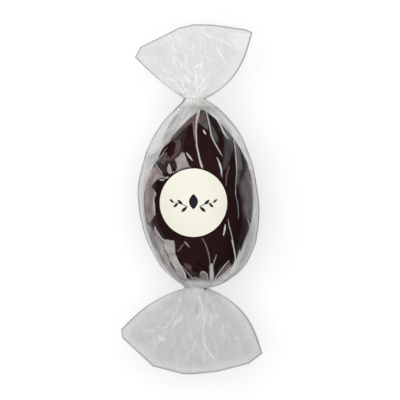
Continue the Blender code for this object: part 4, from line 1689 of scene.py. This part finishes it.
bpy.ops.object.select_all(action="DESELECT")
bpy.ops.mesh.primitive_plane_add(size=FLOOR_SIZE, location=(0.0, 0.0, 0.0))
floor = take_new("floor")
floor_material, floor_tree = new_material("pale_floor")
floor_shader = add_node(floor_tree, "ShaderNodeBsdfPrincipled", {
    "Base Color": FLOOR_GREY, "Roughness": 0.9, "Specular IOR Level": 0.1,
    "Emission Color": WHITE, "Emission Strength": FLOOR_GLOW})
floor.data.materials.append(finish_material(floor_material, floor_shader.outputs[0]))

# %% [markdown]
# ## Soft light
# One large soft box hangs high above, a little to the upper left. A small lamp would cast hard
# shadows and leave glaring points on the film. The sky adds light from the sides: it is bright
# near the horizon and dim overhead, which brings out the folds.

# %% Soft box and sky
BOX_PLACE = (-0.10, 0.12, 1.30)
BOX_SIZE = 1.9
BOX_POWER = 28.5
SKY_AT_HORIZON = 1.1
SKY_OVERHEAD = 0.10
SKY_FADES_BY = 0.22

bpy.ops.object.light_add(type="AREA", location=BOX_PLACE)
soft_box = take_new("soft_box")
soft_box.data.shape = "RECTANGLE"
soft_box.data.size = soft_box.data.size_y = BOX_SIZE
soft_box.data.energy = BOX_POWER
soft_box.rotation_euler = (-Vector(BOX_PLACE)).to_track_quat("-Z", "Y").to_euler()
soft_box.visible_glossy = False

world = bpy.data.worlds.new("studio")
bpy.context.scene.world = world
world.use_nodes = True
sky_tree = world.node_tree
look = add_node(sky_tree, "ShaderNodeTexCoord").outputs["Generated"]
look_up = add_node(sky_tree, "ShaderNodeSeparateXYZ", {"Vector": look}).outputs["Z"]
glow = add_node(sky_tree, "ShaderNodeMapRange", {
    "Value": look_up, "From Min": 0.0, "From Max": SKY_FADES_BY,
    "To Min": SKY_AT_HORIZON, "To Max": SKY_OVERHEAD}, interpolation_type="SMOOTHSTEP")
sky_tree.links.new(glow.outputs[0], sky_tree.nodes["Background"].inputs["Strength"])
print("soft box, W:", BOX_POWER)

# %% [markdown]
# ## The camera
# The camera looks straight down from a metre away, so that both fans and the round label keep
# their true outlines. Its lens is worked out from the width that it has to take in at the
# height of the sweet's middle.

# %% The camera
CAMERA_PLACE = (0.0031, -0.0001, 1.0)
FRAME_WIDTH = 0.150
SHARP_HEIGHT = 0.020
SENSOR_WIDTH = 36.0

camera_data = bpy.data.cameras.new("camera")
camera_data.sensor_width = SENSOR_WIDTH
camera_data.lens = SENSOR_WIDTH * (CAMERA_PLACE[2] - SHARP_HEIGHT) / FRAME_WIDTH
camera = bpy.data.objects.new("camera", camera_data)
bpy.context.scene.collection.objects.link(camera)
camera.location = CAMERA_PLACE
bpy.context.scene.camera = camera
bpy.context.scene.view_settings.view_transform = "Standard"
print("lens, mm:", round(camera_data.lens, 1))
